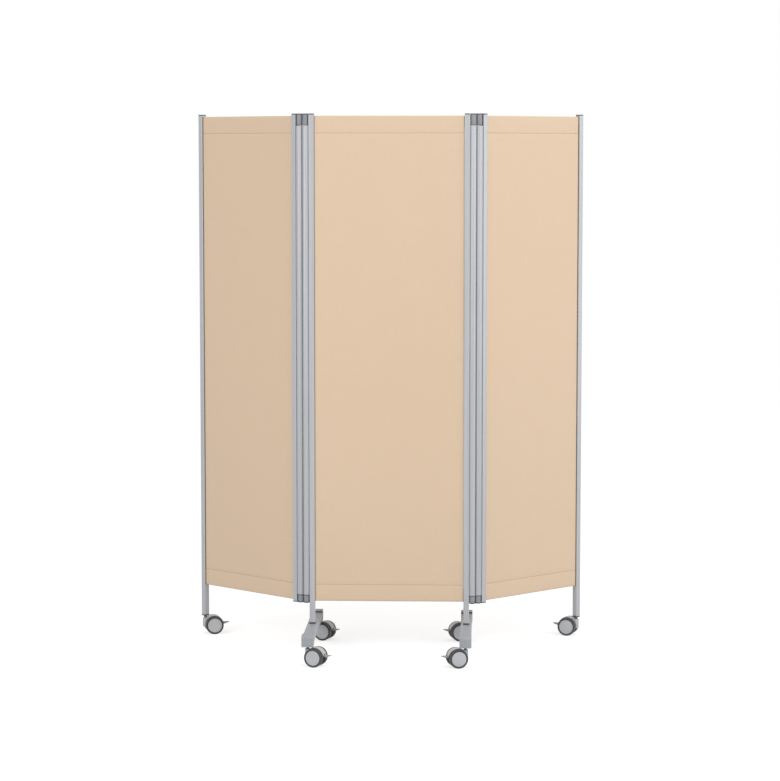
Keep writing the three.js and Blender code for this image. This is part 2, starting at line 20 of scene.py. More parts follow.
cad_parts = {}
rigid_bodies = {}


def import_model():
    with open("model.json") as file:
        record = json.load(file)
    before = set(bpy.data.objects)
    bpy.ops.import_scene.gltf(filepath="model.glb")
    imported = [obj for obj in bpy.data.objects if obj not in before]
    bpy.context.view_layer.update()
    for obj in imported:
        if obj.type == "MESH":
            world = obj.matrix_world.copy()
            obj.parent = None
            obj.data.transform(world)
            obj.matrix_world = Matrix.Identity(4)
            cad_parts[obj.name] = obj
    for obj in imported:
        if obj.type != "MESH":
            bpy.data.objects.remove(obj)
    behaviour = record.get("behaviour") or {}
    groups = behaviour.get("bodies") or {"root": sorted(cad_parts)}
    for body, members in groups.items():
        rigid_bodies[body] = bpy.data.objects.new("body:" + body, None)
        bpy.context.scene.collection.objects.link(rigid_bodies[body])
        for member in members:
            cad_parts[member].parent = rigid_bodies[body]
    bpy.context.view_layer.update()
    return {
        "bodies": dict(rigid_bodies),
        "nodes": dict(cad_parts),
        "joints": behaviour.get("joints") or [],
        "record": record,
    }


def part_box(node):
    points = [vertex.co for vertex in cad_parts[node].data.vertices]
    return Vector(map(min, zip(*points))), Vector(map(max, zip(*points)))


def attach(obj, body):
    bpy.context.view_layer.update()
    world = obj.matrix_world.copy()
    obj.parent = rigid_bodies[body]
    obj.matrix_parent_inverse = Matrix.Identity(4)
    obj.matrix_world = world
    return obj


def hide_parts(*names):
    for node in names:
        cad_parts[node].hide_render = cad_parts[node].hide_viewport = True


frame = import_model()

LOG = logging.getLogger("ward_screen")
TINY = 1e-6
FULL_TURN = 2 * math.pi
HALF_TURN = math.pi
QUARTER_TURN = math.pi / 2
SMOOTH = math.radians(32)
ROUND_SIDES = 56
SOFT = 0.0006
WHITE = (1.0, 1.0, 1.0, 1.0)

Point = tuple[float, float]
Outline = Sequence[Point]
Colour = tuple[float, float, float]
Piece = bpy.types.Object
Socket = bpy.types.NodeSocket


class Slot(Enum):
    """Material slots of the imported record."""

    ALUMINIUM = "aluminium"
    STEEL = "steel"
    FOOT_PAINT = "foot_paint"
    HINGE_PLASTIC = "hinge_plastic"
    CAP_PLASTIC = "cap_plastic"
    HOOD_PLASTIC = "hood_plastic"
    WHEEL_TYRE = "wheel_tyre"
    PEDAL_PLASTIC = "pedal_plastic"
    CLOTH = "cloth"


class Side(Enum):
    """The two sides of the screen, as seen from the front."""

    LEFT = "left"
    RIGHT = "right"


class Pick(Enum):
    """Kinds of mesh element that can be picked on the bench."""

    POINTS = "VERT"
    EDGES = "EDGE"
    FACES = "FACE"


class Join(Enum):
    """Ways of putting two solids together."""

    ADD = "UNION"
    CUT = "DIFFERENCE"


class Axis(Enum):
    """Index of a coordinate axis."""

    X = 0
    Y = 1
    Z = 2


# Outlines


def arc(centre: Point, radius: float, start: float, end: float, steps: int) -> list[Point]:
    """Points along an arc, from one angle to another, both ends included.

    Args:
        centre: middle of the arc.
        radius: its radius.
        start: angle of the first point.
        end: angle of the last point.
        steps: number of chords.

    Returns:
        The points in order.
    """
    angles = [start + (end - start) * i / steps for i in range(steps + 1)]
    return [(centre[0] + radius * math.cos(a), centre[1] + radius * math.sin(a)) for a in angles]


def round_box(centre: Point, width: float, height: float, radius: float, steps: int = 8) -> list[Point]:
    """Outline of a rectangle with round corners, anticlockwise.

    Args:
        centre: middle of the rectangle.
        width: size along the first axis.
        height: size along the second axis.
        radius: corner radius.
        steps: chords in each corner.

    Returns:
        The outline.
    """
    dx = width / 2 - radius
    dy = height / 2 - radius
    outline: list[Point] = []
    for quarter, (x, y) in enumerate(((dx, dy), (-dx, dy), (-dx, -dy), (dx, -dy))):
        start = quarter * QUARTER_TURN
        outline += arc((centre[0] + x, centre[1] + y), radius, start, start + QUARTER_TURN, steps)
    return outline


def moved(points: Outline, x: float, y: float) -> list[Point]:
    """Drawing moved on its own plane."""
    return [(a + x, b + y) for a, b in points]


def laid(points: Outline, axis: Axis, place: float) -> list[Vector]:
    """Drawing on the two other axes, laid at a place along an axis."""
    return [Vector((*point[:axis.value], place, *point[axis.value:])) for point in points]


def along(axis: Axis, length: float = 1.0) -> list[float]:
    """Step of a length along an axis."""
    return [length * (other is axis) for other in Axis]


# Modelling bench


class Bench:
    """One mesh under work, shaped in edit mode with Blender's own operators."""

    SEED = 0.001

    def __init__(self, name: str) -> None:
        """Clears the selection and takes the name of the piece."""
        if bpy.context.mode != "OBJECT":
            bpy.ops.object.mode_set(mode="OBJECT")
        bpy.ops.object.select_all(action="DESELECT")
        self.name = name
        self.piece: Piece | None = None

    def _open(self) -> None:
        """Enters edit mode on a primitive that was just added."""
        if self.piece is None:
            self.piece = bpy.context.active_object
            self.piece.name = self.piece.data.name = self.name
            bpy.ops.object.mode_set(mode="EDIT")
            bpy.ops.mesh.select_mode(type=Pick.POINTS.value)

    def draw(self, points: Sequence[Vector], closed: bool = True) -> "Bench":
        """Draws a line of edges by pulling one point along, back to its start where it is closed."""
        bpy.ops.mesh.primitive_plane_add(size=self.SEED)
        self._open()
        bpy.ops.mesh.merge(type="CENTER")
        bpy.ops.transform.translate(value=points[0])
        path = list(points) + ([points[0]] if closed else [])
        for a, b in zip(path, path[1:]):
            bpy.ops.mesh.extrude_vertices_move(TRANSFORM_OT_translate={"value": b - a})
        return self.merge() if closed else self

    def add_cylinder(
        self, axis: Axis, radius: float, low: float, high: float, sides: int, at: Point = (0.0, 0.0)
    ) -> "Bench":
        """Adds a cylinder between two places along an axis, about a point of the two other axes."""
        turns = {Axis.X: along(Axis.Y, QUARTER_TURN), Axis.Y: along(Axis.X, QUARTER_TURN)}
        bpy.ops.mesh.primitive_cylinder_add(
            vertices=sides,
            radius=radius,
            depth=high - low,
            location=laid([at], axis, (low + high) / 2)[0],
            rotation=turns.get(axis, (0.0, 0.0, 0.0)),
        )
        bpy.ops.object.transform_apply(location=True, rotation=True, scale=True)
        self._open()
        return self

    def add_grid(self, columns: int, rows: int) -> "Bench":
        """Adds a flat grid one metre wide, with its UV map."""
        bpy.ops.mesh.primitive_grid_add(x_subdivisions=columns, y_subdivisions=rows, size=1.0)
        self._open()
        return self

    def merge(self) -> "Bench":
        """Joins points that lie on each other."""
        bpy.ops.mesh.select_all(action="SELECT")
        bpy.ops.mesh.remove_doubles(threshold=TINY)
        return self

    def face(self) -> "Bench":
        """Fills the selected line with one face."""
        bpy.ops.mesh.edge_face_add()
        return self

    def fill(self) -> "Bench":
        """Fills everything between the drawn lines, leaving the holes open."""
        bpy.ops.mesh.select_all(action="SELECT")
        bpy.ops.mesh.fill(use_beauty=True)
        return self

    def pull(self, axis: Axis, length: float) -> "Bench":
        """Extrudes the selected faces along an axis."""
        bpy.ops.mesh.extrude_region_move(TRANSFORM_OT_translate={"value": along(axis, length)})
        return self

    def pick(self, kind: Pick, test: Callable[[object], bool]) -> bool:
        """Selects the points, edges or faces that pass a test, and says whether there are any."""
        bpy.ops.mesh.select_mode(type=kind.value)
        bpy.ops.mesh.select_all(action="DESELECT")
        mesh = bmesh.from_edit_mesh(self.piece.data)
        mesh.normal_update()
        elements = {Pick.POINTS: mesh.verts, Pick.EDGES: mesh.edges, Pick.FACES: mesh.faces}[kind]
        picked = [element for element in elements if test(element)]
        for element in picked:
            element.select_set(True)
        mesh.select_flush_mode()
        bmesh.update_edit_mesh(self.piece.data)
        return bool(picked)

    def soften(self, test: Callable[[object], bool], width: float, segments: int = 3) -> "Bench":
        """Bevels the edges that pass a test."""
        if self.pick(Pick.EDGES, test):
            bpy.ops.mesh.bevel(offset=width, segments=segments, affect="EDGES", clamp_overlap=False)
        return self

    def round_ends(self, axis: Axis, places: Sequence[float], width: float) -> "Bench":
        """Rounds the end faces that lie at places along an axis, where the width is not nought."""
        for place in places if width else ():
            self.soften(rim(axis, place), width)
        return self

    def spin(self, axis: Axis, steps: int, at: Point = (0.0, 0.0)) -> "Bench":
        """Turns the drawn line all the way round an axis through a point of the two other axes."""
        bpy.ops.mesh.select_all(action="SELECT")
        bpy.ops.mesh.spin(
            steps=steps,
            angle=FULL_TURN,
            use_auto_merge=True,
            center=laid([at], axis, 0.0)[0],
            axis=along(axis),
        )
        return self.merge()

    def done(self, smooth: float = SMOOTH) -> Piece:
        """Points the faces outwards, leaves edit mode and shades the piece smooth up to an angle."""
        bpy.ops.mesh.select_all(action="SELECT")
        bpy.ops.mesh.normals_make_consistent(inside=False)
        bpy.ops.object.mode_set(mode="OBJECT")
        return shade(self.piece, smooth)


def choose(piece: Piece) -> None:
    """Selects one object alone and makes it active."""
    bpy.ops.object.select_all(action="DESELECT")
    piece.select_set(True)
    bpy.context.view_layer.objects.active = piece


def shade(piece: Piece, angle: float = SMOOTH) -> Piece:
    """Shades a piece smooth up to an angle."""
    choose(piece)
    bpy.ops.object.shade_smooth_by_angle(angle=angle)
    return piece


def rim(axis: Axis, place: float) -> Callable[[object], bool]:
    """Test for the edges round the end face that lies at a place along an axis."""

    def test(edge: object) -> bool:
        """True on the boundary between the end face and the sides."""
        level = all(abs(v.co[axis.value] - place) < TINY for v in edge.verts)
        return level and any(abs(f.normal[axis.value]) < 0.5 for f in edge.link_faces)

    return test


def pulled(name: str, outlines: Sequence[Outline], axis: Axis, low: float, high: float) -> Bench:
    """Outline, or one with a second one as its hole, pulled from one place along an axis to another."""
    bench = Bench(name)
    for outline in outlines:
        bench.draw(laid(outline, axis, low))
    bench = bench.face() if len(outlines) == 1 else bench.fill()
    return bench.pull(axis, high - low)


def prism(name: str, outline: Outline, axis: Axis, low: float, high: float, soft: float = 0.0) -> Piece:
    """Solid pulled from one outline.

    Args:
        name: name of the piece.
        outline: its outline on the two other axes.
        axis: the way it is pulled.
        low: where it starts.
        high: where it ends.
        soft: width of the rounding of both ends.

    Returns:
        The piece.
    """
    return pulled(name, [outline], axis, low, high).round_ends(axis, (low, high), soft).done()


def cylinder(
    name: str,
    axis: Axis,
    radius: float,
    low: float,
    high: float,
    sides: int,
    at: Point = (0.0, 0.0),
    soft: float = 0.0,
) -> Piece:
    """Cylinder along an axis.

    Args:
        name: name of the piece.
        axis: the way it lies.
        radius: its radius.
        low: where it starts.
        high: where it ends.
        sides: number of sides.
        at: its centre line on the two other axes.
        soft: width of the rounding of both ends.

    Returns:
        The piece.
    """
    bench = Bench(name).add_cylinder(axis, radius, low, high, sides, at)
    return bench.round_ends(axis, (low, high), soft).done()


def turned(name: str, profile: Outline, steps: int) -> Piece:
    """Solid turned about the upright axis from a profile of radius and height."""
    return Bench(name).draw(laid(profile, Axis.Y, 0.0), closed=False).spin(Axis.Z, steps).done()


def modify(piece: Piece, kind: str, **settings: object) -> Piece:
    """Applies a modifier with its settings to a piece."""
    choose(piece)
    modifier = piece.modifiers.new("change", kind)
    for name, value in settings.items():
        setattr(modifier, name, value)
    bpy.ops.object.modifier_apply(modifier=modifier.name)
    return piece


def combine(piece: Piece, tool: Piece, how: Join) -> Piece:
    """Adds a solid to a piece or cuts it away, and removes the tool."""
    modify(piece, "BOOLEAN", object=tool, operation=how.value, solver="EXACT")
    discard(tool)
    return piece


def copy(piece: Piece, name: str) -> Piece:
    """Copy of a piece with its own mesh and name."""
    choose(piece)
    bpy.ops.object.duplicate(linked=False)
    made = bpy.context.active_object
    made.name = made.data.name = name
    return made


def put(piece: Piece, matrix: Matrix) -> Piece:
    """Moves a piece to its place and keeps that place in its mesh."""
    choose(piece)
    piece.matrix_world = matrix
    bpy.ops.object.transform_apply(location=True, rotation=True, scale=True)
    return piece


def discard(*pieces: Piece) -> None:
    """Removes pieces that have done their work."""
    for piece in pieces:
        bpy.data.meshes.remove(piece.data)


# Places on the frame


@dataclass(frozen=True)
class Spot:
    """A place on the floor plan and the way its own X axis points."""

    x: float
    y: float
    turn: float = 0.0

    def matrix(self) -> Matrix:
        """Matrix from this place's axes to the frame's."""
        return Matrix.Translation((self.x, self.y, 0.0)) @ Matrix.Rotation(self.turn, 4, "Z")

    def at(self, x: float = 0.0, y: float = 0.0, turn: float = 0.0) -> "Spot":
        """Another place, given in this one's axes."""
        point = self.matrix() @ Vector((x, y, 0.0))
        return Spot(point.x, point.y, self.turn + turn)


class Plan:
    """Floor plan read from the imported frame: where each sub-assembly stands."""

    def __init__(self, packed: dict) -> None:
        """Takes the dictionary that the frame was loaded as."""
        self.joints = {joint["name"]: Vector(joint["pos_m"]) for joint in packed["joints"]}

    @staticmethod
    def _facing(start: Vector, end: Vector) -> Spot:
        """Place at one point, with its X axis towards another."""
        return Spot(start.x, start.y, math.atan2(end.y - start.y, end.x - start.x))

    @staticmethod
    def middle(node: str) -> Vector:
        """Middle of a node's box."""
        low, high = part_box(node)
        return (low + high) / 2

    def post(self, side: Side) -> Spot:
        """Centre post of a side, facing as the screen does."""
        low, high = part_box(f"post_cap_centre_{side.value}")
        return Spot((low.x + high.x) / 2, (low.y + high.y) / 2)

    def links(self, side: Side) -> Spot:
        """First pivot of a hinge, facing the second."""
        return self._facing(self.joints[f"{side.value}_fold"], self.joints[f"{side.value}_wing_fold"])

    def wing(self, side: Side) -> Spot:
        """Second pivot of a hinge, facing the wing's outer post."""
        outer = self.middle(f"castor_stem_{side.value}_outer")
        return self._facing(self.joints[f"{side.value}_wing_fold"], outer)

    def castor(self, name: str) -> Spot:
        """Stem of a castor, facing its axle."""
        axle = (self.joints[f"{name}_wheel_a"] + self.joints[f"{name}_wheel_b"]) / 2
        return self._facing(self.joints[f"{name}_swivel"], axle)


# Shader building


def linear(colour: Colour) -> tuple[float, float, float, float]:
    """Colour on the 0 to 255 screen scale as a linear shader colour."""
    levels = [c / 255 for c in colour]
    return (*[v / 12.92 if v <= 0.04045 else ((v + 0.055) / 1.055) ** 2.4 for v in levels], 1.0)


class Wiring:
    """Short calls that add and join the nodes of one tree."""

    def __init__(self, tree: bpy.types.NodeTree, clear: bool = False) -> None:
        """Takes the tree to work in, emptied where asked."""
        self.tree = tree
        if clear:
            tree.nodes.clear()

    def feed(self, inputs: bpy.types.NodeInputs, values: dict) -> None:
        """Sets inputs by name or number, each to a value or to the socket that feeds it."""
        for name, value in values.items():
            if isinstance(value, Socket):
                self.tree.links.new(value, inputs[name])
            else:
                inputs[name].default_value = value

    def node(self, kind: str, values: dict | None = None, **settings: object) -> bpy.types.Node:
        """Adds a node.

        Args:
            kind: Blender's name of the node type.
            values: input name or number to a value or to the socket that feeds it.
            settings: the node's own properties.

        Returns:
            The node.
        """
        made = self.tree.nodes.new(kind)
        for name, value in settings.items():
            setattr(made, name, value)
        self.feed(made.inputs, values or {})
        return made

    def math(self, operation: str, *inputs: object) -> Socket:
        """Result of a Math node on numbers or sockets."""
        return self.node("ShaderNodeMath", dict(enumerate(inputs)), operation=operation).outputs[0]

    def scaled(self, vector: Socket, scale: Sequence[float]) -> Socket:
        """Coordinates multiplied axis by axis."""
        return self.node("ShaderNodeMapping", {"Vector": vector, "Scale": scale}).outputs["Vector"]

    def noise(self, vector: Socket, scale: object, detail: float = 3.0, rough: float = 0.5) -> Socket:
        """Value of a noise texture."""
        values = {"Vector": vector, "Scale": scale, "Detail": detail, "Roughness": rough}
        return self.node("ShaderNodeTexNoise", values).outputs["Fac"]

    def between(
        self, value: object, low: float, high: float, new_low: float = 0.0, new_high: float = 1.0
    ) -> Socket:
        """Value mapped from one range to another, held at both ends."""
        values = {0: value, 1: low, 2: high, 3: new_low, 4: new_high}
        return self.node("ShaderNodeMapRange", values).outputs[0]

    def mix(self, share: object, first: object, second: object) -> Socket:
        """Colour between two colours."""
        made = self.node("ShaderNodeMix", data_type="RGBA")
        inputs = {socket.identifier: socket for socket in made.inputs}
        self.feed(inputs, {"Factor_Float": share, "A_Color": first, "B_Color": second})
        return next(s for s in made.outputs if s.identifier == "Result_Color")

    def bump(self, height: Socket, strength: float, distance: float) -> Socket:
        """Normal raised by a height."""
        values = {"Height": height, "Strength": strength, "Distance": distance}
        return self.node("ShaderNodeBump", values).outputs["Normal"]


MADE: dict[str, bpy.types.ID] = {}


@dataclass(frozen=True)
class Effect:
    """A node group that finishes share: its numbers, its outputs, and the function that wires it."""

    name: str
    inputs: dict[str, float]
    outputs: tuple[str, ...]
    wire: Callable[[Wiring, Sequence], dict]

    def tree(self) -> bpy.types.NodeTree:
        """The group, built at its first use."""
        if self.name not in MADE:
            tree = MADE[self.name] = bpy.data.node_groups.new(self.name, "ShaderNodeTree")
            tree.interface.new_socket("Vector", in_out="INPUT", socket_type="NodeSocketVector")
            for label, value in self.inputs.items():
                socket = tree.interface.new_socket(label, in_out="INPUT", socket_type="NodeSocketFloat")
                socket.default_value = value
            for label in self.outputs:
                tree.interface.new_socket(label, in_out="OUTPUT", socket_type="NodeSocketFloat")
            wiring = Wiring(tree)
            given = wiring.node("NodeGroupInput").outputs
            wiring.node("NodeGroupOutput", self.wire(wiring, given))
        return MADE[self.name]

    def place(self, wiring: Wiring, vector: Socket, **numbers: float) -> Sequence:
        """Adds the group to a material with that material's own numbers, and gives its outputs."""
        values = {"Vector": vector} | {name.replace("_", " "): value for name, value in numbers.items()}
        return wiring.node("ShaderNodeGroup", values, node_tree=self.tree()).outputs


def wire_grain(wiring: Wiring, given: Sequence) -> dict:
    """Fine moulded or sprayed grain, with broad cloudy patches."""
    fine = wiring.noise(given["Vector"], given["Scale"], detail=2.0, rough=0.6)
    cloud = wiring.noise(given["Vector"], given["Patch scale"], detail=3.0, rough=0.55)
    return {"Height": fine, "Patch": wiring.between(cloud, 0.3, 0.7)}


def wire_dust(wiring: Wiring, given: Sequence) -> dict:
    """Dust that gathers towards the floor and breaks up in patches."""
    parts = wiring.node("ShaderNodeSeparateXYZ", {0: given["Vector"]})
    low = wiring.between(parts.outputs["Z"], 0.0, given["Reach"], 1.0, 0.0)
    cloud = wiring.noise(given["Vector"], given["Scale"], detail=5.0, rough=0.65)
    cloud = wiring.between(cloud, 0.35, 0.75)
    return {"Dust": wiring.math("MULTIPLY", wiring.math("MULTIPLY", low, cloud), given["Amount"])}


def wire_lines(wiring: Wiring, given: Sequence) -> dict:
    """Fine and broad lines left along a drawn metal section, upright on this screen."""
    fine = wiring.scaled(given["Vector"], (1900.0, 1900.0, 9.0))
    fine = wiring.noise(fine, 1.0, detail=2.0, rough=0.7)
    broad = wiring.scaled(given["Vector"], (260.0, 260.0, 1.6))
    broad = wiring.noise(broad, 1.0, detail=2.0, rough=0.5)
    return {"Fine": fine, "Broad": wiring.between(broad, 0.3, 0.7)}


def wire_weave(wiring: Wiring, given: Sequence) -> dict:
    """Plain weave of uneven rounded threads, on coordinates in metres along weft and warp."""
    parts = wiring.node("ShaderNodeSeparateXYZ", {0: given["Vector"]})
    cells = [wiring.math("DIVIDE", parts.outputs[axis], given["Pitch"]) for axis in ("X", "Y")]
    waves = [wiring.math("SINE", wiring.math("MULTIPLY", cell, HALF_TURN)) for cell in cells]
    warp, weft = (wiring.math("ABSOLUTE", wave) for wave in waves)
    over = wiring.math("PINGPONG", wiring.math("ADD", *(wiring.math("FLOOR", cell) for cell in cells)), 1.0)
    under = wiring.math("SUBTRACT", 1.0, over)
    height = wiring.math("ADD", wiring.math("MULTIPLY", warp, over), wiring.math("MULTIPLY", weft, under))
    ways = ((620.0, 14.0, 1.0), (14.0, 620.0, 1.0))
    slubs = [wiring.noise(wiring.scaled(given["Vector"], way), 1.0, detail=2.0) for way in ways]
    slub = wiring.math("MULTIPLY", wiring.math("ADD", *slubs), 0.5)
    return {"Height": height, "Slub": wiring.between(slub, 0.35, 0.65)}


GRAIN = Effect("surface_grain", {"Scale": 1400.0, "Patch scale": 24.0}, ("Height", "Patch"), wire_grain)
DUST = Effect("floor_dust", {"Reach": 0.15, "Scale": 60.0, "Amount": 0.3}, ("Dust",), wire_dust)
LINES = Effect("drawn_lines", {}, ("Fine", "Broad"), wire_lines)
WEAVE = Effect("plain_weave", {"Pitch": 0.0009}, ("Height", "Slub"), wire_weave)


# Finishes


@dataclass(frozen=True)
class Finish:
    """A finish with one base colour for one slot; the kinds below add what their surface shows."""

    name: str
    slot: Slot
    colour: Colour
    roughness: float
    metallic: float = 0.0
    specular: float = 0.5

    def material(self) -> bpy.types.Material:
        """Material of this finish, made at its first use."""
        if self.name not in MADE:
            made = MADE[self.name] = bpy.data.materials.new(self.name)
            made.use_nodes = True
            wiring = Wiring(made.node_tree, clear=True)
            values = {"Metallic": self.metallic, "Specular IOR Level": self.specular}
            shader = wiring.node("ShaderNodeBsdfPrincipled", values)
            wiring.node("ShaderNodeOutputMaterial", {"Surface": shader.outputs["BSDF"]})
            tone, rough, normal = self.dress(wiring, shader)
            wiring.feed(shader.inputs, {"Base Color": tone, "Roughness": rough, "Normal": normal})
        return MADE[self.name]

    def tone(self, factor: float) -> tuple[float, float, float, float]:
        """Base colour made lighter or darker by a factor."""
        return linear(tuple(min(255.0, c * factor) for c in self.colour))

    def rough(self, wiring: Wiring, value: object, low: float, high: float, gloss: Point) -> object:
        """Roughness that runs over the range of a gloss as a value goes from low to high."""
        return wiring.between(value, low, high, self.roughness + gloss[0], self.roughness + gloss[1])

    def dress(self, wiring: Wiring, shader: bpy.types.Node) -> tuple:
        """Adds the finish's own nodes and gives the sockets of colour, roughness and normal."""
        raise NotImplementedError


@dataclass(frozen=True)
class DrawnMetal(Finish):
    """Anodised aluminium section with fine lines along its length."""

    line_depth: float = 0.00002

    def dress(self, wiring: Wiring, shader: bpy.types.Node) -> tuple:
        """Lines in colour, roughness and relief, and dust near the floor."""
        place = wiring.node("ShaderNodeTexCoord").outputs["Object"]
        lines = LINES.place(wiring, place)
        tone = wiring.mix(lines["Broad"], self.tone(0.97), self.tone(1.03))
        dust = DUST.place(wiring, place, Reach=0.5, Amount=0.12)["Dust"]
        tone = wiring.mix(dust, tone, self.tone(0.8))
        rough = self.rough(wiring, lines["Fine"], 0.3, 0.7, (-0.05, 0.08))
        return tone, rough, wiring.bump(lines["Fine"], 0.25, self.line_depth)


@dataclass(frozen=True)
class Grained(Finish):
    """Moulded plastic, sprayed paint, rubber or plated steel with an even fine grain."""

    grain_scale: float = 1500.0
    grain_depth: float = 0.00006
    grain_strength: float = 0.2
    patch_scale: float = 30.0
    tones: Point = (0.96, 1.03)
    gloss: Point = (-0.04, 0.06)
    dust: float = 0.25
    dust_reach: float = 0.16
    dust_colour: Colour = (168, 164, 158)

    def dress(self, wiring: Wiring, shader: bpy.types.Node) -> tuple:
        """Grain, cloudy patches and dust towards the floor."""
        place = wiring.node("ShaderNodeTexCoord").outputs["Object"]
        grain = GRAIN.place(wiring, place, Scale=self.grain_scale, Patch_scale=self.patch_scale)
        tone = wiring.mix(grain["Patch"], *(self.tone(factor) for factor in self.tones))
        if self.dust:
            dust = DUST.place(wiring, place, Reach=self.dust_reach, Amount=self.dust)["Dust"]
            tone = wiring.mix(dust, tone, linear(self.dust_colour))
        rough = self.rough(wiring, grain["Patch"], 0.0, 1.0, self.gloss)
        return tone, rough, wiring.bump(grain["Height"], self.grain_strength, self.grain_depth)


@dataclass(frozen=True)
class Woven(Finish):
    """Plain woven cloth on the sheet's own UV map."""

    pitch: float = 0.0009
    thread_depth: float = 0.00018
    sheen: float = 0.12

    def dress(self, wiring: Wiring, shader: bpy.types.Node) -> tuple:
        """Threads over and under, uneven threads, faint broad mottling and painted shade between the
        threads.
        """
        thread = wiring.node("ShaderNodeUVMap", uv_map=Panel.UV_NAME).outputs["UV"]
        weave = WEAVE.place(wiring, thread, Pitch=self.pitch)
        mottle = wiring.between(wiring.noise(thread, 9.0, detail=3.0), 0.3, 0.7)
        tone = wiring.mix(weave["Slub"], self.tone(0.99), self.tone(1.01))
        tone = wiring.mix(wiring.math("MULTIPLY", mottle, 0.25), tone, self.tone(0.98))
        # painted shade: darker where the weave's height is low, in the hollows between threads
        tone = wiring.mix(wiring.between(weave["Height"], 0.0, 0.6, 0.28, 0.0), tone, self.tone(0.86))
        wiring.feed(shader.inputs, {"Sheen Weight": self.sheen, "Sheen Roughness": 0.6})
        rough = self.rough(wiring, weave["Slub"], 0.0, 1.0, (-0.03, 0.03))
        return tone, rough, wiring.bump(weave["Height"], 0.22, self.thread_depth)


def plated(name: str, colour: Colour, roughness: float) -> Grained:
    """Plated steel of stems, washers and pins, clean and slightly duller in patches."""
    look = {"grain_scale": 2600.0, "grain_depth": 0.00003, "grain_strength": 0.1, "patch_scale": 24.0}
    spread = {"tones": (0.92, 1.06), "gloss": (0.0, 0.12), "dust": 0.0}
    return Grained(name, Slot.STEEL, colour, roughness, metallic=0.8, **look, **spread)


def dark(name: str, colour: Colour, roughness: float = 0.5, dust: float = 0.08, **look: float) -> Grained:
    """Dark moulding that shares the caps' slot."""
    return Grained(name, Slot.CAP_PLASTIC, colour, roughness, dust=dust, **look)


ALUMINIUM = DrawnMetal(
    "anodised_aluminium", Slot.ALUMINIUM, (186, 188, 192), 0.42, metallic=0.2, specular=0.35
)
STEM_STEEL = plated("plated_steel", (96, 98, 102), 0.38)
PIN_STEEL = plated("pin_steel", (150, 152, 155), 0.35)
FOOT_PAINT = Grained(
    "foot_spray", Slot.FOOT_PAINT, (166, 171, 177), 0.48, specular=0.3, grain_scale=700.0, dust=0.12
)
HINGE_PLASTIC = Grained("hinge_moulding", Slot.HINGE_PLASTIC, (150, 152, 156), 0.5, specular=0.3, dust=0.05)
DARK_PLASTIC = dark("dark_plastic", (58, 60, 64))
COLLAR_PLASTIC = dark("collar_plastic", (84, 86, 90))
# Dark colour of the frame at each end block: painted shade of the gap between bar and block.
SEAM_SHADE = dark("painted_seam_shade", (104, 108, 114))
# Dark colour of the strip beside each cloth: painted shade along the side of the post.
EDGE_SHADE = dark("painted_edge_shade", (112, 108, 102), 0.7, specular=0.2, dust=0.0)
HOOD_PLASTIC = Grained("hood_moulding", Slot.HOOD_PLASTIC, (194, 197, 201), 0.42)
DISC_PLASTIC = Grained("disc_plastic", Slot.HOOD_PLASTIC, (199, 202, 206), 0.45, specular=0.3)
PEDAL_PLASTIC = Grained("pedal_moulding", Slot.PEDAL_PLASTIC, (170, 172, 174), 0.45)
TYRE_RUBBER = Grained(
    "tyre_rubber",
    Slot.WHEEL_TYRE,
    (58, 60, 63),
    0.62,
    grain_scale=900.0,
    grain_depth=0.0001,
    grain_strength=0.3,
    patch_scale=90.0,
    tones=(0.9, 1.1),
    gloss=(-0.08, 0.08),
    dust=0.35,
    dust_reach=0.09,
    dust_colour=(112, 110, 106),
)
CLOTH = Woven("woven_cloth", Slot.CLOTH, (230, 204, 175), 0.9)
# Thread a little darker than the cloth, darkened further to paint the shade along the hem's seam.
STITCH_THREAD_AND_SEAM_SHADE = Grained("stitch_thread_seam_shade", Slot.CLOTH, (150, 126, 100), 0.8, grain_scale=4000.0, dust=0.0)


def fit(pattern: Piece, name: str, spot: Spot, body: str, finish: Finish, *stands_for: str) -> Piece:
    """Puts a copy of a pattern on the frame.

    Args:
        pattern: the piece in its own axes.
        name: name of the copy.
        spot: where it stands.
        body: CAD body that it rides on.
        finish: its finish.
        stands_for: CAD nodes that it replaces.

    Returns:
        The copy.
    """
    piece = put(copy(pattern, name), spot.matrix())
    piece.data.materials.clear()
    piece.data.materials.append(finish.material())
    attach(piece, body)
    if stands_for:
        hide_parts(*stands_for)
    LOG.info("%s rides on %s, %d faces", piece.name, body, len(piece.data.polygons))
    return piece


# Sub-assemblies


@dataclass(frozen=True)
class Levels:
    """Heights above the floor that the sub-assemblies share."""

    top: float = 1.750
    post_top: float = 1.7467
    post_foot: float = 0.0996
    short_foot: float = 0.163
    outer_foot: float = 0.0663
    link_top_low: float = 1.712
    link_bottom_high: float = 0.189
    cloth_top: float = 1.743
    cloth_low: float = 0.169
    rail_top: float = 1.723
    rail_bottom: float = 0.189
    mount: float = 0.063


LEVELS = Levels()


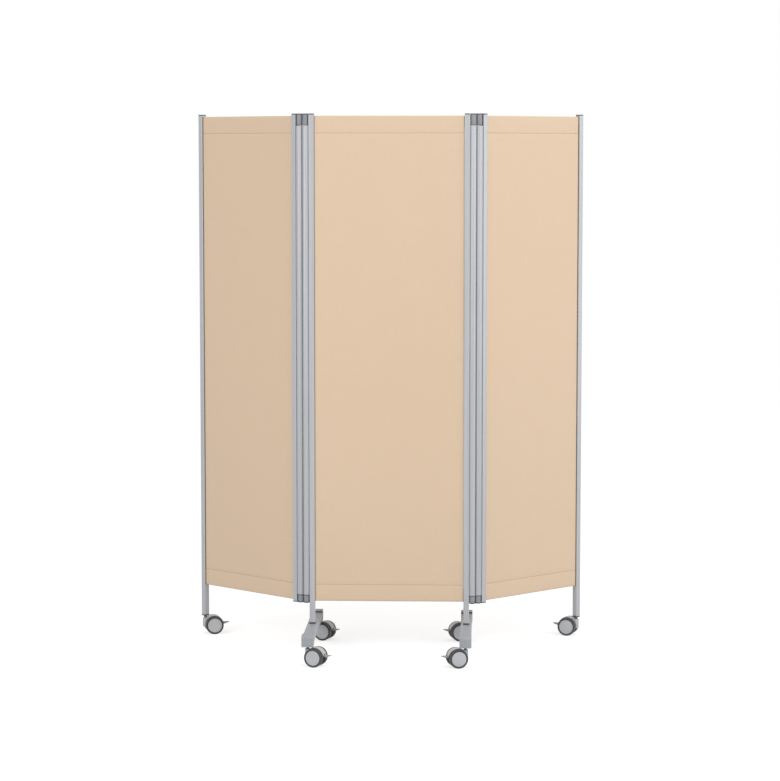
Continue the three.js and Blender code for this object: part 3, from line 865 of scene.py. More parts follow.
@dataclass
class Posts:
    """The six upright extrusions and their caps."""

    width: float = 0.018
    depth: float = 0.020
    wall: float = 0.002
    corner: float = 0.0026
    bead_radius: float = 0.010
    neck: float = 0.0156
    groove: float = 0.0020
    groove_half: float = 0.0045
    strip: float = 0.0006
    strip_half: float = 0.0072
    liner: float = 0.0007
    liner_half: float = 0.0065
    root: float = 0.001
    run_gap: float = 0.0005
    cap: float = 0.003
    slot_height: float = 0.0366
    slot_width: float = 0.0066

    @property
    def bead_offset(self) -> float:
        """Centre of a post to the centre of its bead."""
        return self.width / 2 + self.bead_radius

    def section(self, grow: float = 0.0) -> list[Point]:
        """Outline of a post, moved outwards by an amount."""
        return round_box((0.0, 0.0), self.width + 2 * grow, self.depth + 2 * grow, self.corner + grow)

    def tube(self, name: str, foot: float) -> Piece:
        """Hollow tube with the two rail slots on its -X side."""
        sections = (self.section(), self.section(-self.wall))
        return self.slotted(pulled(name, sections, Axis.Z, foot, LEVELS.post_top).done())

    def slotted(self, piece: Piece) -> Piece:
        """Cuts the slots of both rails through the -X side of a piece."""
        for height in (LEVELS.rail_top, LEVELS.rail_bottom):
            outline = round_box((0.0, height), self.slot_width, self.slot_height, self.slot_width / 2, 6)
            slot = prism("slot", outline, Axis.X, -self.width, 2 * self.wall - self.width / 2)
            combine(piece, slot, Join.CUT)
        return piece

    def bead(self) -> Piece:
        """Round bead with its neck and the groove beside the post, between the two hinge links."""
        lean = math.asin(self.neck / 2 / self.bead_radius)
        shoulder = self.width / 2 + self.groove
        step = [
            (self.width / 2 - self.root, -self.groove_half),
            (shoulder, -self.groove_half),
            (shoulder, -self.neck / 2),
        ]
        centre = (self.bead_offset, 0.0)
        curve = arc(centre, self.bead_radius, lean - HALF_TURN, HALF_TURN - lean, ROUND_SIDES)
        outline = [*step, *curve, *((x, -y) for x, y in reversed(step))]
        low = LEVELS.link_bottom_high + self.run_gap
        return prism("bead", outline, Axis.Z, low, LEVELS.link_top_low - self.run_gap, SOFT)

    def plate(self, name: str, low: float, soft_top: bool) -> Piece:
        """Thin plate that closes an end of a post, rounded on its outer side."""
        high = low + self.cap
        bench = pulled(name, [self.section()], Axis.Z, low, high)
        return bench.round_ends(Axis.Z, [high if soft_top else low], SOFT).done()

    def shade_strip(self) -> Piece:
        """Dark strip beside the cloth, slotted for the rails, on the -X side of a post: painted shade where
        the cloth meets the post.
        """
        near = -self.width / 2
        far = near - self.strip
        half = self.strip_half
        outline = [(far, -half), (near, -half), (near, half), (far, half)]
        return self.slotted(prism("shade_strip", outline, Axis.Z, LEVELS.cloth_low, LEVELS.cloth_top))

    def hinge_shade_liner(self, name: str, low: float, high: float) -> Piece:
        """Dark liner between a post and the lobe of a hinge link, which closes the gap there and paints its
        shade.
        """
        middle = (self.width / 2 + self.liner / 2, 0.0)
        outline = round_box(middle, self.liner, 2 * self.liner_half, self.liner / 3, 3)
        return prism(name, outline, Axis.Z, low, high)

    def build(self, plan: Plan, wing_reach: float) -> None:
        """Builds and fits all posts and caps.

        Args:
            plan: floor plan of the frame.
            wing_reach: from a wing's pivot to its outer post.
        """
        bead = self.bead()
        short_foot = LEVELS.short_foot + self.cap
        posts = {
            "centre": combine(self.tube("long_post", LEVELS.post_foot), copy(bead, "bead_copy"), Join.ADD),
            "inner": combine(self.tube("short_post", short_foot), bead, Join.ADD),
            "outer": self.tube("outer_post", LEVELS.outer_foot),
        }
        for post in posts.values():
            shade(post)
        cap = self.plate("cap", LEVELS.top - self.cap, True)
        foot_cap = self.plate("foot_cap", LEVELS.short_foot, False)
        strip = self.shade_strip()
        liners = {
            "top": self.hinge_shade_liner("liner_top", LEVELS.link_top_low, LEVELS.post_top),
            "bottom": self.hinge_shade_liner("liner_bottom", short_foot, LEVELS.link_bottom_high),
        }
        for side in Side:
            wing = plan.wing(side)
            wing_body = f"{side.value}_wing"
            centre = plan.post(side).at(turn=HALF_TURN if side is Side.LEFT else 0.0)
            inner = wing.at(self.bead_offset, turn=HALF_TURN)
            rows = {
                "centre": (centre, "centre_panel"),
                "inner": (inner, wing_body),
                "outer": (wing.at(wing_reach), wing_body),
            }
            for label, (spot, body) in rows.items():
                name = f"{label}_{side.value}"
                fit(posts[label], f"post_{name}_shown", spot, body, ALUMINIUM, f"post_{name}")
                fit(cap, f"post_cap_{name}_shown", spot, body, DARK_PLASTIC, f"post_cap_{name}")
                # dark strip on the post's cloth side: painted shade where the cloth meets the post
                fit(strip, f"post_shade_strip_{name}", spot, body, EDGE_SHADE)
                # dark liners at the hinges: painted shade between post and lobe
                for end, liner in liners.items() if label != "outer" else ():
                    fit(liner, f"hinge_shade_liner_{end}_{name}", spot, body, DARK_PLASTIC)
            fit(foot_cap, f"post_foot_cap_inner_{side.value}", inner, wing_body, DARK_PLASTIC)
        discard(*posts.values(), cap, foot_cap, strip, *liners.values())


@dataclass
class Hinges:
    """The four hinge links: two lobes on a dark web, with washers and pins."""

    pitch: float = 0.0206
    radius: float = 0.0091
    plate: float = 0.003
    web: float = 0.006
    web_corner: float = 0.001
    web_inset: float = 0.0004
    washer: float = 0.0016
    washer_radius: float = 0.0092
    soft: float = 0.0008
    pin_radius: float = 0.0036
    pin_seat: float = 0.0042
    pin_depth: float = 0.0012
    pin_edge: float = 0.0004

    def lobe(self, name: str, low: float, high: float) -> Piece:
        """One barrel about the upright axis."""
        return cylinder(name, Axis.Z, self.radius, low, high, ROUND_SIDES, soft=self.soft)

    def pair(self, lobe: Piece) -> Piece:
        """A lobe joined to its copy at the second pivot."""
        second = put(copy(lobe, "second"), Spot(self.pitch, 0.0).matrix())
        return shade(combine(lobe, second, Join.ADD))

    def pin(self, end: float, inwards: float) -> Piece:
        """Domed head of a pin, just below the face of its lobe."""
        face = end + inwards * self.pin_depth / 4
        seat = end + inwards * self.pin_depth
        profile = [
            (0.0, face),
            (self.pin_radius - 2 * self.pin_edge, face),
            (self.pin_radius, face + inwards * self.pin_edge),
            (self.pin_radius, seat),
            (0.0, seat),
        ]
        return turned("pin", profile, 32)

    def build(self, plan: Plan) -> None:
        """Builds and fits the links of both sides."""
        ends = {
            "top": (LEVELS.link_top_low, LEVELS.top, -1.0),
            "bottom": (LEVELS.link_bottom_high, LEVELS.short_foot, 1.0),
        }
        for end, (inner, outer, inwards) in ends.items():
            cover = outer + inwards * self.plate
            stop = inner - inwards * self.washer
            low, high = sorted((stop, cover))
            lobes = self.pair(self.lobe("lobe", low, high))
            seat_ends = (outer - self.pin_depth, outer + self.pin_depth)
            seat = cylinder("seat", Axis.Z, self.pin_seat, *seat_ends, 32)
            plates = self.pair(combine(self.lobe("plate", *sorted((outer, cover))), seat, Join.CUT))
            pin = self.pin(outer, inwards)
            washer = cylinder("washer", Axis.Z, self.washer_radius, *sorted((inner, stop)), 48)
            outline = round_box((self.pitch / 2, 0.0), self.pitch, self.web, self.web_corner, 3)
            low = min(low, outer) + self.web_inset
            web = prism("web", outline, Axis.Z, low, max(high, outer) - self.web_inset)
            for side in Side:
                name = f"{end}_{side.value}"
                body = f"{side.value}_links"
                spot = plan.links(side)
                fit(lobes, f"hinge_link_{name}_shown", spot, body, HINGE_PLASTIC, f"hinge_link_{name}")
                fit(plates, f"hinge_plates_{name}", spot, body, DARK_PLASTIC)
                fit(web, f"hinge_web_{name}", spot, body, DARK_PLASTIC)
                for label, place in (("first", spot), ("second", spot.at(self.pitch))):
                    # dark washer between lobe and bead; its dark colour also paints the shade of the gap
                    # there
                    fit(washer, f"hinge_washer_{name}_{label}", place, body, DARK_PLASTIC)
                    fit(pin, f"hinge_pin_{name}_{label}", place, body, PIN_STEEL)
            discard(lobes, plates, pin, washer, web)


@dataclass
class Feet:
    """The two feet: a bar with an end block over each castor, a collar round the post and a bolt below."""

    reach: float = 0.225
    bar_width: float = 0.036
    bar_low: float = 0.067
    bar_high: float = 0.094
    bar_corner: float = 0.005
    bar_overlap: float = 0.012
    block_width: float = 0.038
    block_length: float = 0.046
    block_high: float = 0.099
    nose: float = 0.009
    heel: float = 0.003
    edge: float = 0.002
    collar_low: float = 0.0943
    collar: float = 0.0045
    collar_rim: float = 0.0015
    collar_soft: float = 0.001
    seam_frame: float = 0.0018
    seam_frame_inset: float = 0.0006
    seam_frame_gap: float = 0.0001
    bolt_radius: float = 0.0065
    bolt_head: float = 0.003
    bolt_chamfer: float = 0.0007

    def section(self, grow: float = 0.0) -> list[Point]:
        """Outline of the bar, moved outwards by an amount."""
        middle = (0.0, (self.bar_high + self.bar_low) / 2)
        height = self.bar_high - self.bar_low + 2 * grow
        return round_box(middle, self.bar_width + 2 * grow, height, self.bar_corner)

    def bar(self) -> Piece:
        """Bar along Y, reaching into both end blocks."""
        half = self.reach - self.block_length / 2 + self.bar_overlap
        return prism("foot_bar", self.section(), Axis.Y, -half, half)

    def block(self) -> Piece:
        """End block, its nose towards +Y, with soft sides."""
        half = self.block_length / 2
        nose = (half - self.nose, self.block_high - self.nose)
        heel = (-half + self.heel, self.block_high - self.heel)
        outline = [
            (-half, LEVELS.mount),
            (half, LEVELS.mount),
            *arc(nose, self.nose, 0.0, QUARTER_TURN, 14),
            *arc(heel, self.heel, QUARTER_TURN, HALF_TURN, 8),
        ]
        return prism("foot_block", outline, Axis.X, -self.block_width / 2, self.block_width / 2, self.edge)

    def seam_shade_frame(self) -> Piece:
        """Thin dark frame round the bar at the face of an end block: painted shade of the gap between bar
        and block.
        """
        width = self.block_width - 2 * self.seam_frame_inset
        height = self.block_high - LEVELS.mount - 2 * self.seam_frame_inset
        middle = (0.0, (self.block_high + LEVELS.mount) / 2)
        outlines = (round_box(middle, width, height, self.edge, 4), self.section(self.seam_frame_gap))
        face = -self.block_length / 2
        return pulled("foot_seam_shade", outlines, Axis.Y, face, face - self.seam_frame).done()

    def collar_piece(self, posts: Posts) -> Piece:
        """Collar under the post, with rounded rims."""
        outline = posts.section(self.collar_rim)
        high = self.collar_low + self.collar
        return prism("collar", outline, Axis.Z, self.collar_low, high, self.collar_soft)

    def bolt(self) -> Piece:
        """Hexagon head under the bar, with its chamfer."""
        low = self.bar_low - self.bolt_head
        bench = Bench("foot_bolt").add_cylinder(Axis.Z, self.bolt_radius, low, self.bar_low, 6)
        return bench.soften(rim(Axis.Z, low), self.bolt_chamfer, 2).done(math.radians(20))

    def build(self, plan: Plan, posts: Posts) -> None:
        """Builds both feet and fits them under the centre posts."""
        bar, block, seam_frame = self.bar(), self.block(), self.seam_shade_frame()
        collar, bolt = self.collar_piece(posts), self.bolt()
        body = "centre_panel"
        for side in Side:
            name = side.value
            spot = plan.post(side)
            fit(bar, f"foot_{name}_shown", spot, body, FOOT_PAINT, f"foot_{name}")
            for end, way, turn in (("front", -1.0, HALF_TURN), ("rear", 1.0, 0.0)):
                place = spot.at(0.0, way * self.reach, turn)
                fit(block, f"foot_block_{name}_{end}", place, body, FOOT_PAINT)
                # dark frame at the block's face: painted shade of the gap between bar and block
                fit(seam_frame, f"foot_seam_shade_{name}_{end}", place, body, SEAM_SHADE)
            fit(collar, f"foot_collar_{name}_shown", spot, body, COLLAR_PLASTIC, f"foot_collar_{name}")
            fit(bolt, f"foot_bolt_{name}", spot, body, STEM_STEEL)
        discard(bar, block, seam_frame, collar, bolt)


@dataclass
class Panel:
    """One cloth, folded round its two rails and sewn along two seams."""

    UV_NAME = "thread"

    name: str
    body: str
    width: float
    thickness: float = 0.0012
    hem: float = 0.055
    rail_thickness: float = 0.006
    rail_height: float = 0.036
    slack: float = 0.0004
    crease: float = 0.0005
    turn_in: float = 0.003
    pocket_steps: int = 7
    fold_steps: int = 12
    column_step: float = 0.006
    row_step: float = 0.014
    wave_height: float = 0.0004
    waves: int = 5
    stitch_pitch: float = 0.0035
    stitch_length: float = 0.0029
    stitch_radius: float = 0.0004
    end_share: float = 0.15
    end_size: float = 0.4
    sink_share: float = 0.4
    side_clear: float = 0.004
    seed: int = 11

    @property
    def fold(self) -> float:
        """Middle of the rail to the middle of the cloth in front of it."""
        return self.rail_thickness / 2 + self.slack + self.thickness / 2

    def _hem_line(self) -> list[Point]:
        """Half of the fold, from the raw edge at the back to the seam in front, about the cloth's end."""
        fold = self.fold
        turn = fold + self.thickness / 2
        pocket = turn + self.rail_height
        back = self.thickness + self.slack / 4 - fold
        line = [(back, self.hem + self.turn_in)]
        for i in range(self.pocket_steps + 1):
            share = i / self.pocket_steps
            lean = (1 - math.cos(HALF_TURN * share)) / 2
            line.append((back + (fold - back) * lean, self.hem + (pocket - self.hem) * share))
        line.append((fold, (pocket + turn) / 2))
        line += [(y, turn - x) for y, x in arc((0.0, 0.0), fold, 0.0, HALF_TURN, self.fold_steps)]
        line += [(-fold, turn + (self.hem - turn) * share) for share in (0.35, 0.7, 0.94)]
        line.append((self.crease - fold, self.hem))
        line.append((-fold, self.hem + (self.hem - turn) * 0.06))
        return line

    def path(self) -> list[Point]:
        """The whole sheet seen from its side, as Y and Z, from its upper raw edge to its lower one."""
        hem = self._hem_line()
        top = [(y, LEVELS.cloth_top - d) for y, d in hem]
        bottom = [(y, LEVELS.cloth_low + d) for y, d in reversed(hem)]
        start = top[-1][1]
        end = bottom[0][1]
        rows = round((start - end) / self.row_step)
        return top + [(-self.fold, start + (end - start) * i / rows) for i in range(1, rows)] + bottom

    def _wave(self, x: float, z: float) -> float:
        """Small unevenness of the stretched cloth, nothing at its hems and sides."""
        span = LEVELS.cloth_top - LEVELS.cloth_low - 2 * self.hem
        share = (z - LEVELS.cloth_low - self.hem) / span
        if not 0.0 < share < 1.0:
            return 0.0
        fade = min(1.0, 8 * share, 8 * (1 - share)) * min(1.0, 10 * (0.5 - abs(x / self.width)))
        draw = random.Random(self.seed)
        total = 0.0
        for _ in range(self.waves):
            sideways = draw.uniform(2.0, 9.0)
            up = draw.uniform(0.6, 3.0)
            phase = draw.uniform(0.0, FULL_TURN)
            total += math.sin(sideways * x * math.pi + up * z * math.pi + phase) / self.waves
        return self.wave_height * fade * total * 2

    def cloth(self) -> Piece:
        """The sheet, modelled flat as a grid, folded round both rails and given its thickness.

        Returns:
            The cloth in the panel's own axes, X along the panel from its middle.
        """
        path = self.path()
        lengths = [0.0]
        for a, b in zip(path, path[1:]):
            lengths.append(lengths[-1] + math.dist(a, b))
        self.flat_size = (self.width, lengths[-1])
        rows = len(path) - 1
        bench = Bench("cloth").add_grid(round(self.width / self.column_step), rows)
        sheet = bench.done(HALF_TURN)
        layer = sheet.data.uv_layers[0]
        layer.name = self.UV_NAME
        where: list[Point] = []
        for vertex in sheet.data.vertices:
            row = round((0.5 - vertex.co.y) * rows)
            x = vertex.co.x * self.width
            y, z = path[row]
            where.append((x + self.width / 2, lengths[row]))
            vertex.co = (x, y + self._wave(x, z), z)
        for loop in sheet.data.loops:
            layer.uv[loop.index].vector = where[loop.vertex_index]
        modify(sheet, "SOLIDIFY", thickness=self.thickness, offset=0.0)
        bpy.ops.object.mode_set(mode="EDIT")
        return bench.done(math.radians(50))

    def stitch(self) -> Piece:
        """One stitch along X, with narrow ends."""
        half = self.stitch_length * (0.5 - self.end_share)
        bench = Bench("stitch").add_cylinder(Axis.X, self.stitch_radius, -half, half, 6)
        for way in (-1.0, 1.0):
            bench.pick(Pick.FACES, lambda face: face.normal.x * way > 0.9)
            bench.pull(Axis.X, way * self.stitch_length * self.end_share)
            bpy.ops.transform.resize(value=(1.0, self.end_size, self.end_size))
        return bench.done(math.radians(60))

    def stitching(self) -> Piece:
        """Stitches of both seams, on the front and the back of the cloth."""
        stitch = self.stitch()
        count = int((self.width - self.side_clear) / self.stitch_pitch)
        start = -(count - 1) * self.stitch_pitch / 2
        sink = self.stitch_radius * self.sink_share
        front = self.crease - self.fold - self.thickness / 2 - sink
        back = 3 * self.thickness / 2 + self.slack / 4 - self.fold + sink
        offset = {
            "use_relative_offset": False,
            "use_constant_offset": True,
            "constant_offset_displace": (self.stitch_pitch, 0.0, 0.0),
        }
        rows = []
        for height in (LEVELS.cloth_top - self.hem, LEVELS.cloth_low + self.hem):
            for y in (front, back):
                row = modify(copy(stitch, "row"), "ARRAY", count=count, **offset)
                rows.append(put(row, Matrix.Translation((start, y, height))))
        discard(stitch)
        choose(rows[0])
        for row in rows[1:]:
            row.select_set(True)
        bpy.ops.object.join()
        return bpy.context.active_object

    def build(self, spot: Spot) -> None:
        """Builds and fits the cloth with its stitching, and dresses the rails.

        Args:
            spot: middle of the panel, facing along it.
        """
        sheet, seams = self.cloth(), self.stitching()
        cloth = fit(sheet, f"cloth_{self.name}_shown", spot, self.body, CLOTH, f"cloth_{self.name}")
        # darker thread: its own colour and painted shade along the seams
        stitching = fit(seams, f"stitching_{self.name}", spot, self.body, STITCH_THREAD_AND_SEAM_SHADE)
        discard(sheet, seams)
        rails = [f"cross_rail_{end}_{self.name}" for end in ("top", "bottom")]
        LOG.info("%s was cut to %.4f by %.4f m", cloth.name, *self.flat_size)
        for rail in rails:
            metal = frame["nodes"][rail].data.materials
            metal.clear()
            metal.append(ALUMINIUM.material())


@dataclass
class Castor:
    """A twin-wheel castor: stem, hood, two wheels and brake pedal. X trails, Y is the axle's way."""

    # Radii of the wheel disc's outer ring
    RING = (0.0176, 0.0193)
    # Face of the disc from its middle outwards: radius, and height over the face
    DISC_FACE = (
        (0.0, 0.0002),
        (0.0052, 0.00018),
        (0.0056, -0.0001),
        (0.0062, -0.0001),
        (0.0066, 0.00016),
        (0.012, 0.00012),
        (RING[0], 0.0),
        (RING[1], -0.0001),
    )
    # Edge of the disc, from its own radius and face
    DISC_EDGE = ((-0.0016, -0.0002), (-0.0005, -0.0004), (0.0, -0.0010))
    # Back of the disc, from its hub's radius and the wheel's inner face
    DISC_BACK = ((0.0, 0.0012), (-0.001, 0.0004))
    # Inner edge of the tyre, from its bore and the wheel's inner face
    TYRE_BORE = ((0.0, 0.0008), (0.001, 0.0))
    # Lip of the tyre, from the disc's radius and the wheel's outer face
    TYRE_LIP = ((0.0014, 0.0), (0.0007, -0.0003), (0.0004, -0.0012))
    # Groove of the tread, from the wheel's radius and the groove's middle
    TREAD_GROOVE = ((0.0, -0.0007), (-0.0003, -0.0003), (-0.0003, 0.0003), (0.0, 0.0007))
    # Top of the pedal's arm, from its pin
    ARM_TOP = ((0.006, 0.0026),)
    # End of the arm and both sides of the pad, from the pad's root
    ARM_END = ((-0.001, -0.0047), (0.001, -0.0045), (0.001, 0.0020))
    PAD_BELOW = ((-0.0002, -0.0048), (0.007, -0.0028))
    PAD_ABOVE = ((0.010, 0.0018), (-0.0002, 0.0022))
    # Start of the pad's round tip, from the place of that tip along X and the pin's height
    PAD_TIP = ((-0.0005, 0.0002),)

    trail: float = 0.028
    wheel_radius: float = 0.030
    wheel_width: float = 0.0195
    side_gap: float = 0.001
    shoulder: float = 0.003
    groove_share: float = 0.75
    bore_inset: float = 0.0022
    disc_radius: float = 0.0238
    disc_recess: float = 0.0006
    disc_depth: float = 0.003
    disc_lap: float = 0.0002
    hub_inset: float = 0.0024
    mark_inset: float = 0.00025
    mark_depth: float = 0.0005
    hood_width: float = 0.017
    hood_radius: float = 0.0322
    hood_inset: float = 0.0003
    hood_soft: float = 0.0011
    hood_start: float = math.radians(15)
    fender_reach: float = 0.0045
    fender_wall: float = 0.0014
    fender_end: float = math.radians(14)
    fender_lap: float = 0.12
    core_radius: float = 0.014
    core_span: Point = (math.radians(215), math.radians(330))
    axle_radius: float = 0.004
    boss_radius: float = 0.009
    boss_low: float = 0.024
    boss_high: float = 0.055
    boss_step: float = 0.0004
    boss_soft: float = 0.0012
    stem_radius: float = 0.005
    stem_low: float = 0.0345
    bore_length: float = 0.04
    washer_radius: float = 0.008
    washer: float = 0.0015
    washer_edge: float = 0.0003
    seat_gap: float = 0.0003
    plug: float = 0.003
    pin_out: float = 0.020
    pin_up: float = 0.006
    pin_radius: float = 0.002
    pin_inset: float = 0.001
    barrel: float = 0.004
    barrel_span: Point = (math.radians(70), math.radians(290))
    pedal_width: float = 0.011
    pad_gap: float = 0.003
    pad_width: float = 0.016
    taper_start: float = 0.012
    pad_taper: float = 0.72
    pad_soft: float = 0.0007
    pad_tip: float = 0.0011
    pad_rise: float = 0.0013
    pedal_reach: float = 0.080
    ribs: int = 3
    rib_radius: float = 0.0006
    rib_share: float = 0.8
    rib_start: float = 0.008
    rib_rise: float = 0.0019
    rib_pitch: float = 0.0035
    slot_back: float = 0.0005
    slot_over: float = 0.002
    slot_above: float = 0.0015
    slot_corner: float = 0.002
    steps: int = 72

    @property
    def hub(self) -> Point:
        """Axle on X and Z."""
        return (self.trail, self.wheel_radius)

    @property
    def crown(self) -> float:
        """Outer radius of the hood and its rims."""
        return self.hood_radius - self.hood_inset

    @property
    def inside(self) -> float:
        """Inner face of a wheel along Y."""
        return self.hood_width / 2 + self.side_gap

    @property
    def outside(self) -> float:
        """Outer face of a wheel along Y."""
        return self.inside + self.wheel_width

    def _lathe(self, name: str, profile: Outline, closed: bool) -> Bench:
        """Profile of radius and Y, turned about the axle."""
        x, z = self.hub
        line = [Vector((x + radius, y, z)) for radius, y in profile]
        return Bench(name).draw(line, closed).spin(Axis.Y, self.steps, self.hub)

    def tyre(self) -> Piece:
        """Tyre with round shoulders, a fine groove round the tread and a lip round the disc."""
        low, high, radius, soft = self.inside, self.outside, self.wheel_radius, self.shoulder
        seat = high - self.disc_depth
        bore = self.disc_radius - self.bore_inset
        lip = moved(self.TYRE_LIP, self.disc_radius, high)
        profile = [
            *moved(self.TYRE_BORE, bore, low),
            *arc((radius - soft / 2, low + soft / 2), soft / 2, -QUARTER_TURN, 0.0, 6),
            *moved(self.TREAD_GROOVE, radius, low + self.wheel_width * self.groove_share),
            *arc((radius - soft, high - soft), soft, 0.0, QUARTER_TURN, 6),
            *lip,
            (lip[-1][0], seat),
            (bore, seat),
        ]
        return self._lathe("tyre", profile, True).done()

    def disc(self) -> Piece:
        """Wheel disc, slightly domed, with six small marks near its rim."""
        face = self.outside - self.disc_recess
        seat = self.outside - self.disc_depth + self.disc_lap
        hub = self.disc_radius - self.hub_inset
        back = moved(self.DISC_BACK, hub, self.inside)
        profile = [
            *moved(self.DISC_FACE, 0.0, face),
            *moved(self.DISC_EDGE, self.disc_radius, face),
            (self.disc_radius, seat),
            (hub, seat),
            *back,
            (0.0, back[-1][1]),
        ]
        bench = self._lathe("disc", profile, False)

        def mark(face_of_disc: object) -> bool:
            """True for six small faces of the outer ring."""
            point = face_of_disc.calc_center_median()
            x, z = point.x - self.trail, point.z - self.wheel_radius
            angle = math.degrees(math.atan2(z, x)) % 60
            on_ring = self.RING[0] < math.hypot(x, z) < self.RING[1]
            return on_ring and point.y > seat and angle < 360 / self.steps

        if bench.pick(Pick.FACES, mark):
            bpy.ops.mesh.inset(thickness=self.mark_inset, use_individual=True)
            bpy.ops.transform.translate(value=along(Axis.Y, -self.mark_depth))
        return bench.done()

    def hood(self) -> Piece:
        """Hood between the wheels with the stem's boss, the pedal's slot and the stem's bore."""
        x, z = self.hub
        half = self.hood_width / 2
        boss_angle = HALF_TURN - math.asin((self.boss_high - z) / self.hood_radius)
        outline = [
            *arc(self.hub, self.crown, self.hood_start, boss_angle, 40),
            (0.0, self.boss_high - self.boss_step),
            (0.0, self.boss_low),
            *arc(self.hub, self.core_radius, *self.core_span, 14),
        ]
        body = prism("hood", outline, Axis.Y, -half, half, self.hood_soft)
        heights = (self.boss_low, self.boss_high)
        boss = cylinder("boss", Axis.Z, self.boss_radius, *heights, ROUND_SIDES, soft=self.boss_soft)
        reach = self.inside + self.hood_inset
        axle = cylinder("axle", Axis.Y, self.axle_radius, -reach, reach, 32, self.hub)
        for part in (self._fender(boss_angle), boss, axle):
            combine(body, part, Join.ADD)
        low = self.stem_low - self.seat_gap
        bore = cylinder("bore", Axis.Z, self.stem_radius + self.seat_gap, low, low + self.bore_length, 40)
        start = x + self.pin_out - self.barrel - self.slot_back
        end = x + self.hood_radius + self.slot_over
        top = z + self.pin_up + self.barrel + self.slot_above
        corner = (start + self.slot_corner, top - self.slot_corner)
        outline = [(start, 0.0), (end, 0.0), (end, top)]
        outline += arc(corner, self.slot_corner, QUARTER_TURN, HALF_TURN, 5)
        half = self.pedal_width / 2 + self.seat_gap
        for part in (bore, prism("pedal_slot", outline, Axis.Y, -half, half)):
            combine(body, part, Join.CUT)
        return shade(body)

    def _fender(self, boss_angle: float) -> Piece:
        """Rim that stands over the inner part of both treads, from the pedal's side to the boss."""
        end = boss_angle + self.fender_lap
        outline = [
            *arc(self.hub, self.crown, self.fender_end, end, 44),
            *arc(self.hub, self.crown - self.fender_wall, end, self.fender_end, 44),
        ]
        half = self.hood_width / 2 + self.fender_reach
        return prism("fender", outline, Axis.Y, -half, half, SOFT)

    def pedal(self) -> Piece:
        """Brake pedal: barrel, narrow arm, a wedge-shaped pad with ribs, and the pin."""
        x, z = self.trail + self.pin_out, self.wheel_radius + self.pin_up
        root = self.trail + self.wheel_radius + self.pad_gap
        half = self.pedal_width / 2
        outline = [
            *arc((x, z), self.barrel, *self.barrel_span, 16),
            *moved(self.ARM_END, root, z),
            *moved(self.ARM_TOP, x, z),
        ]
        arm = prism("pedal", outline, Axis.Y, -half, half, SOFT)
        combine(arm, self._pad(root, z), Join.ADD)
        half = self.pedal_width * self.rib_share / 2
        for i in range(self.ribs):
            place = (root + self.rib_start + self.rib_pitch * i, z + self.rib_rise)
            combine(arm, cylinder("rib", Axis.Y, self.rib_radius, -half, half, 12, place), Join.ADD)
        half = self.hood_width / 2 - self.pin_inset
        combine(arm, cylinder("pedal_pin", Axis.Y, self.pin_radius, -half, half, 24, (x, z)), Join.ADD)
        return shade(arm)

    def _pad(self, root: float, z: float) -> Piece:
        """Pad of the pedal, narrower towards its tip and rounded round both sides.

        Args:
            root: where it starts along X.
            z: height that its outline is given from.

        Returns:
            The pad.
        """
        tip = self.pedal_reach - self.pad_tip
        half = self.pad_width / 2
        outline = [
            *moved(self.PAD_BELOW, root, z),
            *moved(self.PAD_TIP, tip, z),
            *arc((tip, z + self.pad_rise), self.pad_tip, -QUARTER_TURN, QUARTER_TURN, 6),
            *moved(self.PAD_ABOVE, root, z),
        ]
        bench = pulled("pad", [outline], Axis.Y, -half, half)
        bench.pick(Pick.POINTS, lambda vertex: vertex.co.x > root + self.taper_start)
        bpy.ops.transform.resize(value=(1.0, self.pad_taper, 1.0))
        for way in (-1.0, 1.0):
            bench.soften(
                lambda edge: sum(face.normal.y * way > 0.8 for face in edge.link_faces) == 1, self.pad_soft
            )
        return bench.done()

    def stem(self) -> Piece:
        """Stem with its washer, up to the face that it is fixed under."""
        radius, wide, edge = self.stem_radius, self.washer_radius, self.washer_edge
        top = LEVELS.mount - self.seat_gap
        low = top - self.washer
        end = top + self.seat_gap / 2
        profile = [
            (0.0, self.stem_low),
            (radius - 2 * edge, self.stem_low),
            (radius, self.stem_low + 2 * edge),
            (radius, low),
            (wide - edge, low),
            (wide, low + edge),
            (wide, top - edge),
            (wide - edge, top),
            (radius, top),
            (radius, end),
            (0.0, end),
        ]
        return turned("stem", profile, 48)

    def build(self, plan: Plan, posts: Posts) -> None:
        """Builds one castor and fits six copies of it, with plugs over the outer two.

        Args:
            plan: floor plan of the frame.
            posts: the posts, whose section the plugs have.
        """
        tyre, disc, hood, pedal, stem = self.tyre(), self.disc(), self.hood(), self.pedal(), self.stem()
        low = LEVELS.mount - self.seat_gap
        plug = prism("plug", posts.section(), Axis.Z, low, LEVELS.mount + self.plug, SOFT)
        for side in Side:
            for end in ("front", "rear", "outer"):
                name = f"{side.value}_{end}"
                spot = plan.castor(name)
                carrier = f"{side.value}_wing" if end == "outer" else "centre_panel"
                rows = (
                    (stem, "castor_stem", carrier, STEM_STEEL),
                    (hood, "castor_hood", f"castor_{name}", HOOD_PLASTIC),
                    (pedal, "brake_pedal", f"pedal_{name}", PEDAL_PLASTIC),
                )
                for pattern, kind, body, finish in rows:
                    fit(pattern, f"{kind}_{name}_shown", spot, body, finish, f"{kind}_{name}")
                if end == "outer":
                    level = Spot(spot.x, spot.y, plan.wing(side).turn)
                    fit(plug, f"castor_plug_{name}", level, carrier, DARK_PLASTIC)
                for letter, place in (("a", spot), ("b", spot.at(2 * self.trail, turn=HALF_TURN))):
                    wheel = f"{name}_{letter}"
                    node = f"castor_wheel_{wheel}"
                    fit(tyre, f"castor_tyre_{wheel}", place, f"wheel_{wheel}", TYRE_RUBBER, node)
                    fit(disc, f"castor_disc_{wheel}", place, f"wheel_{wheel}", DISC_PLASTIC)
        discard(tyre, disc, hood, pedal, stem, plug)


# Studio


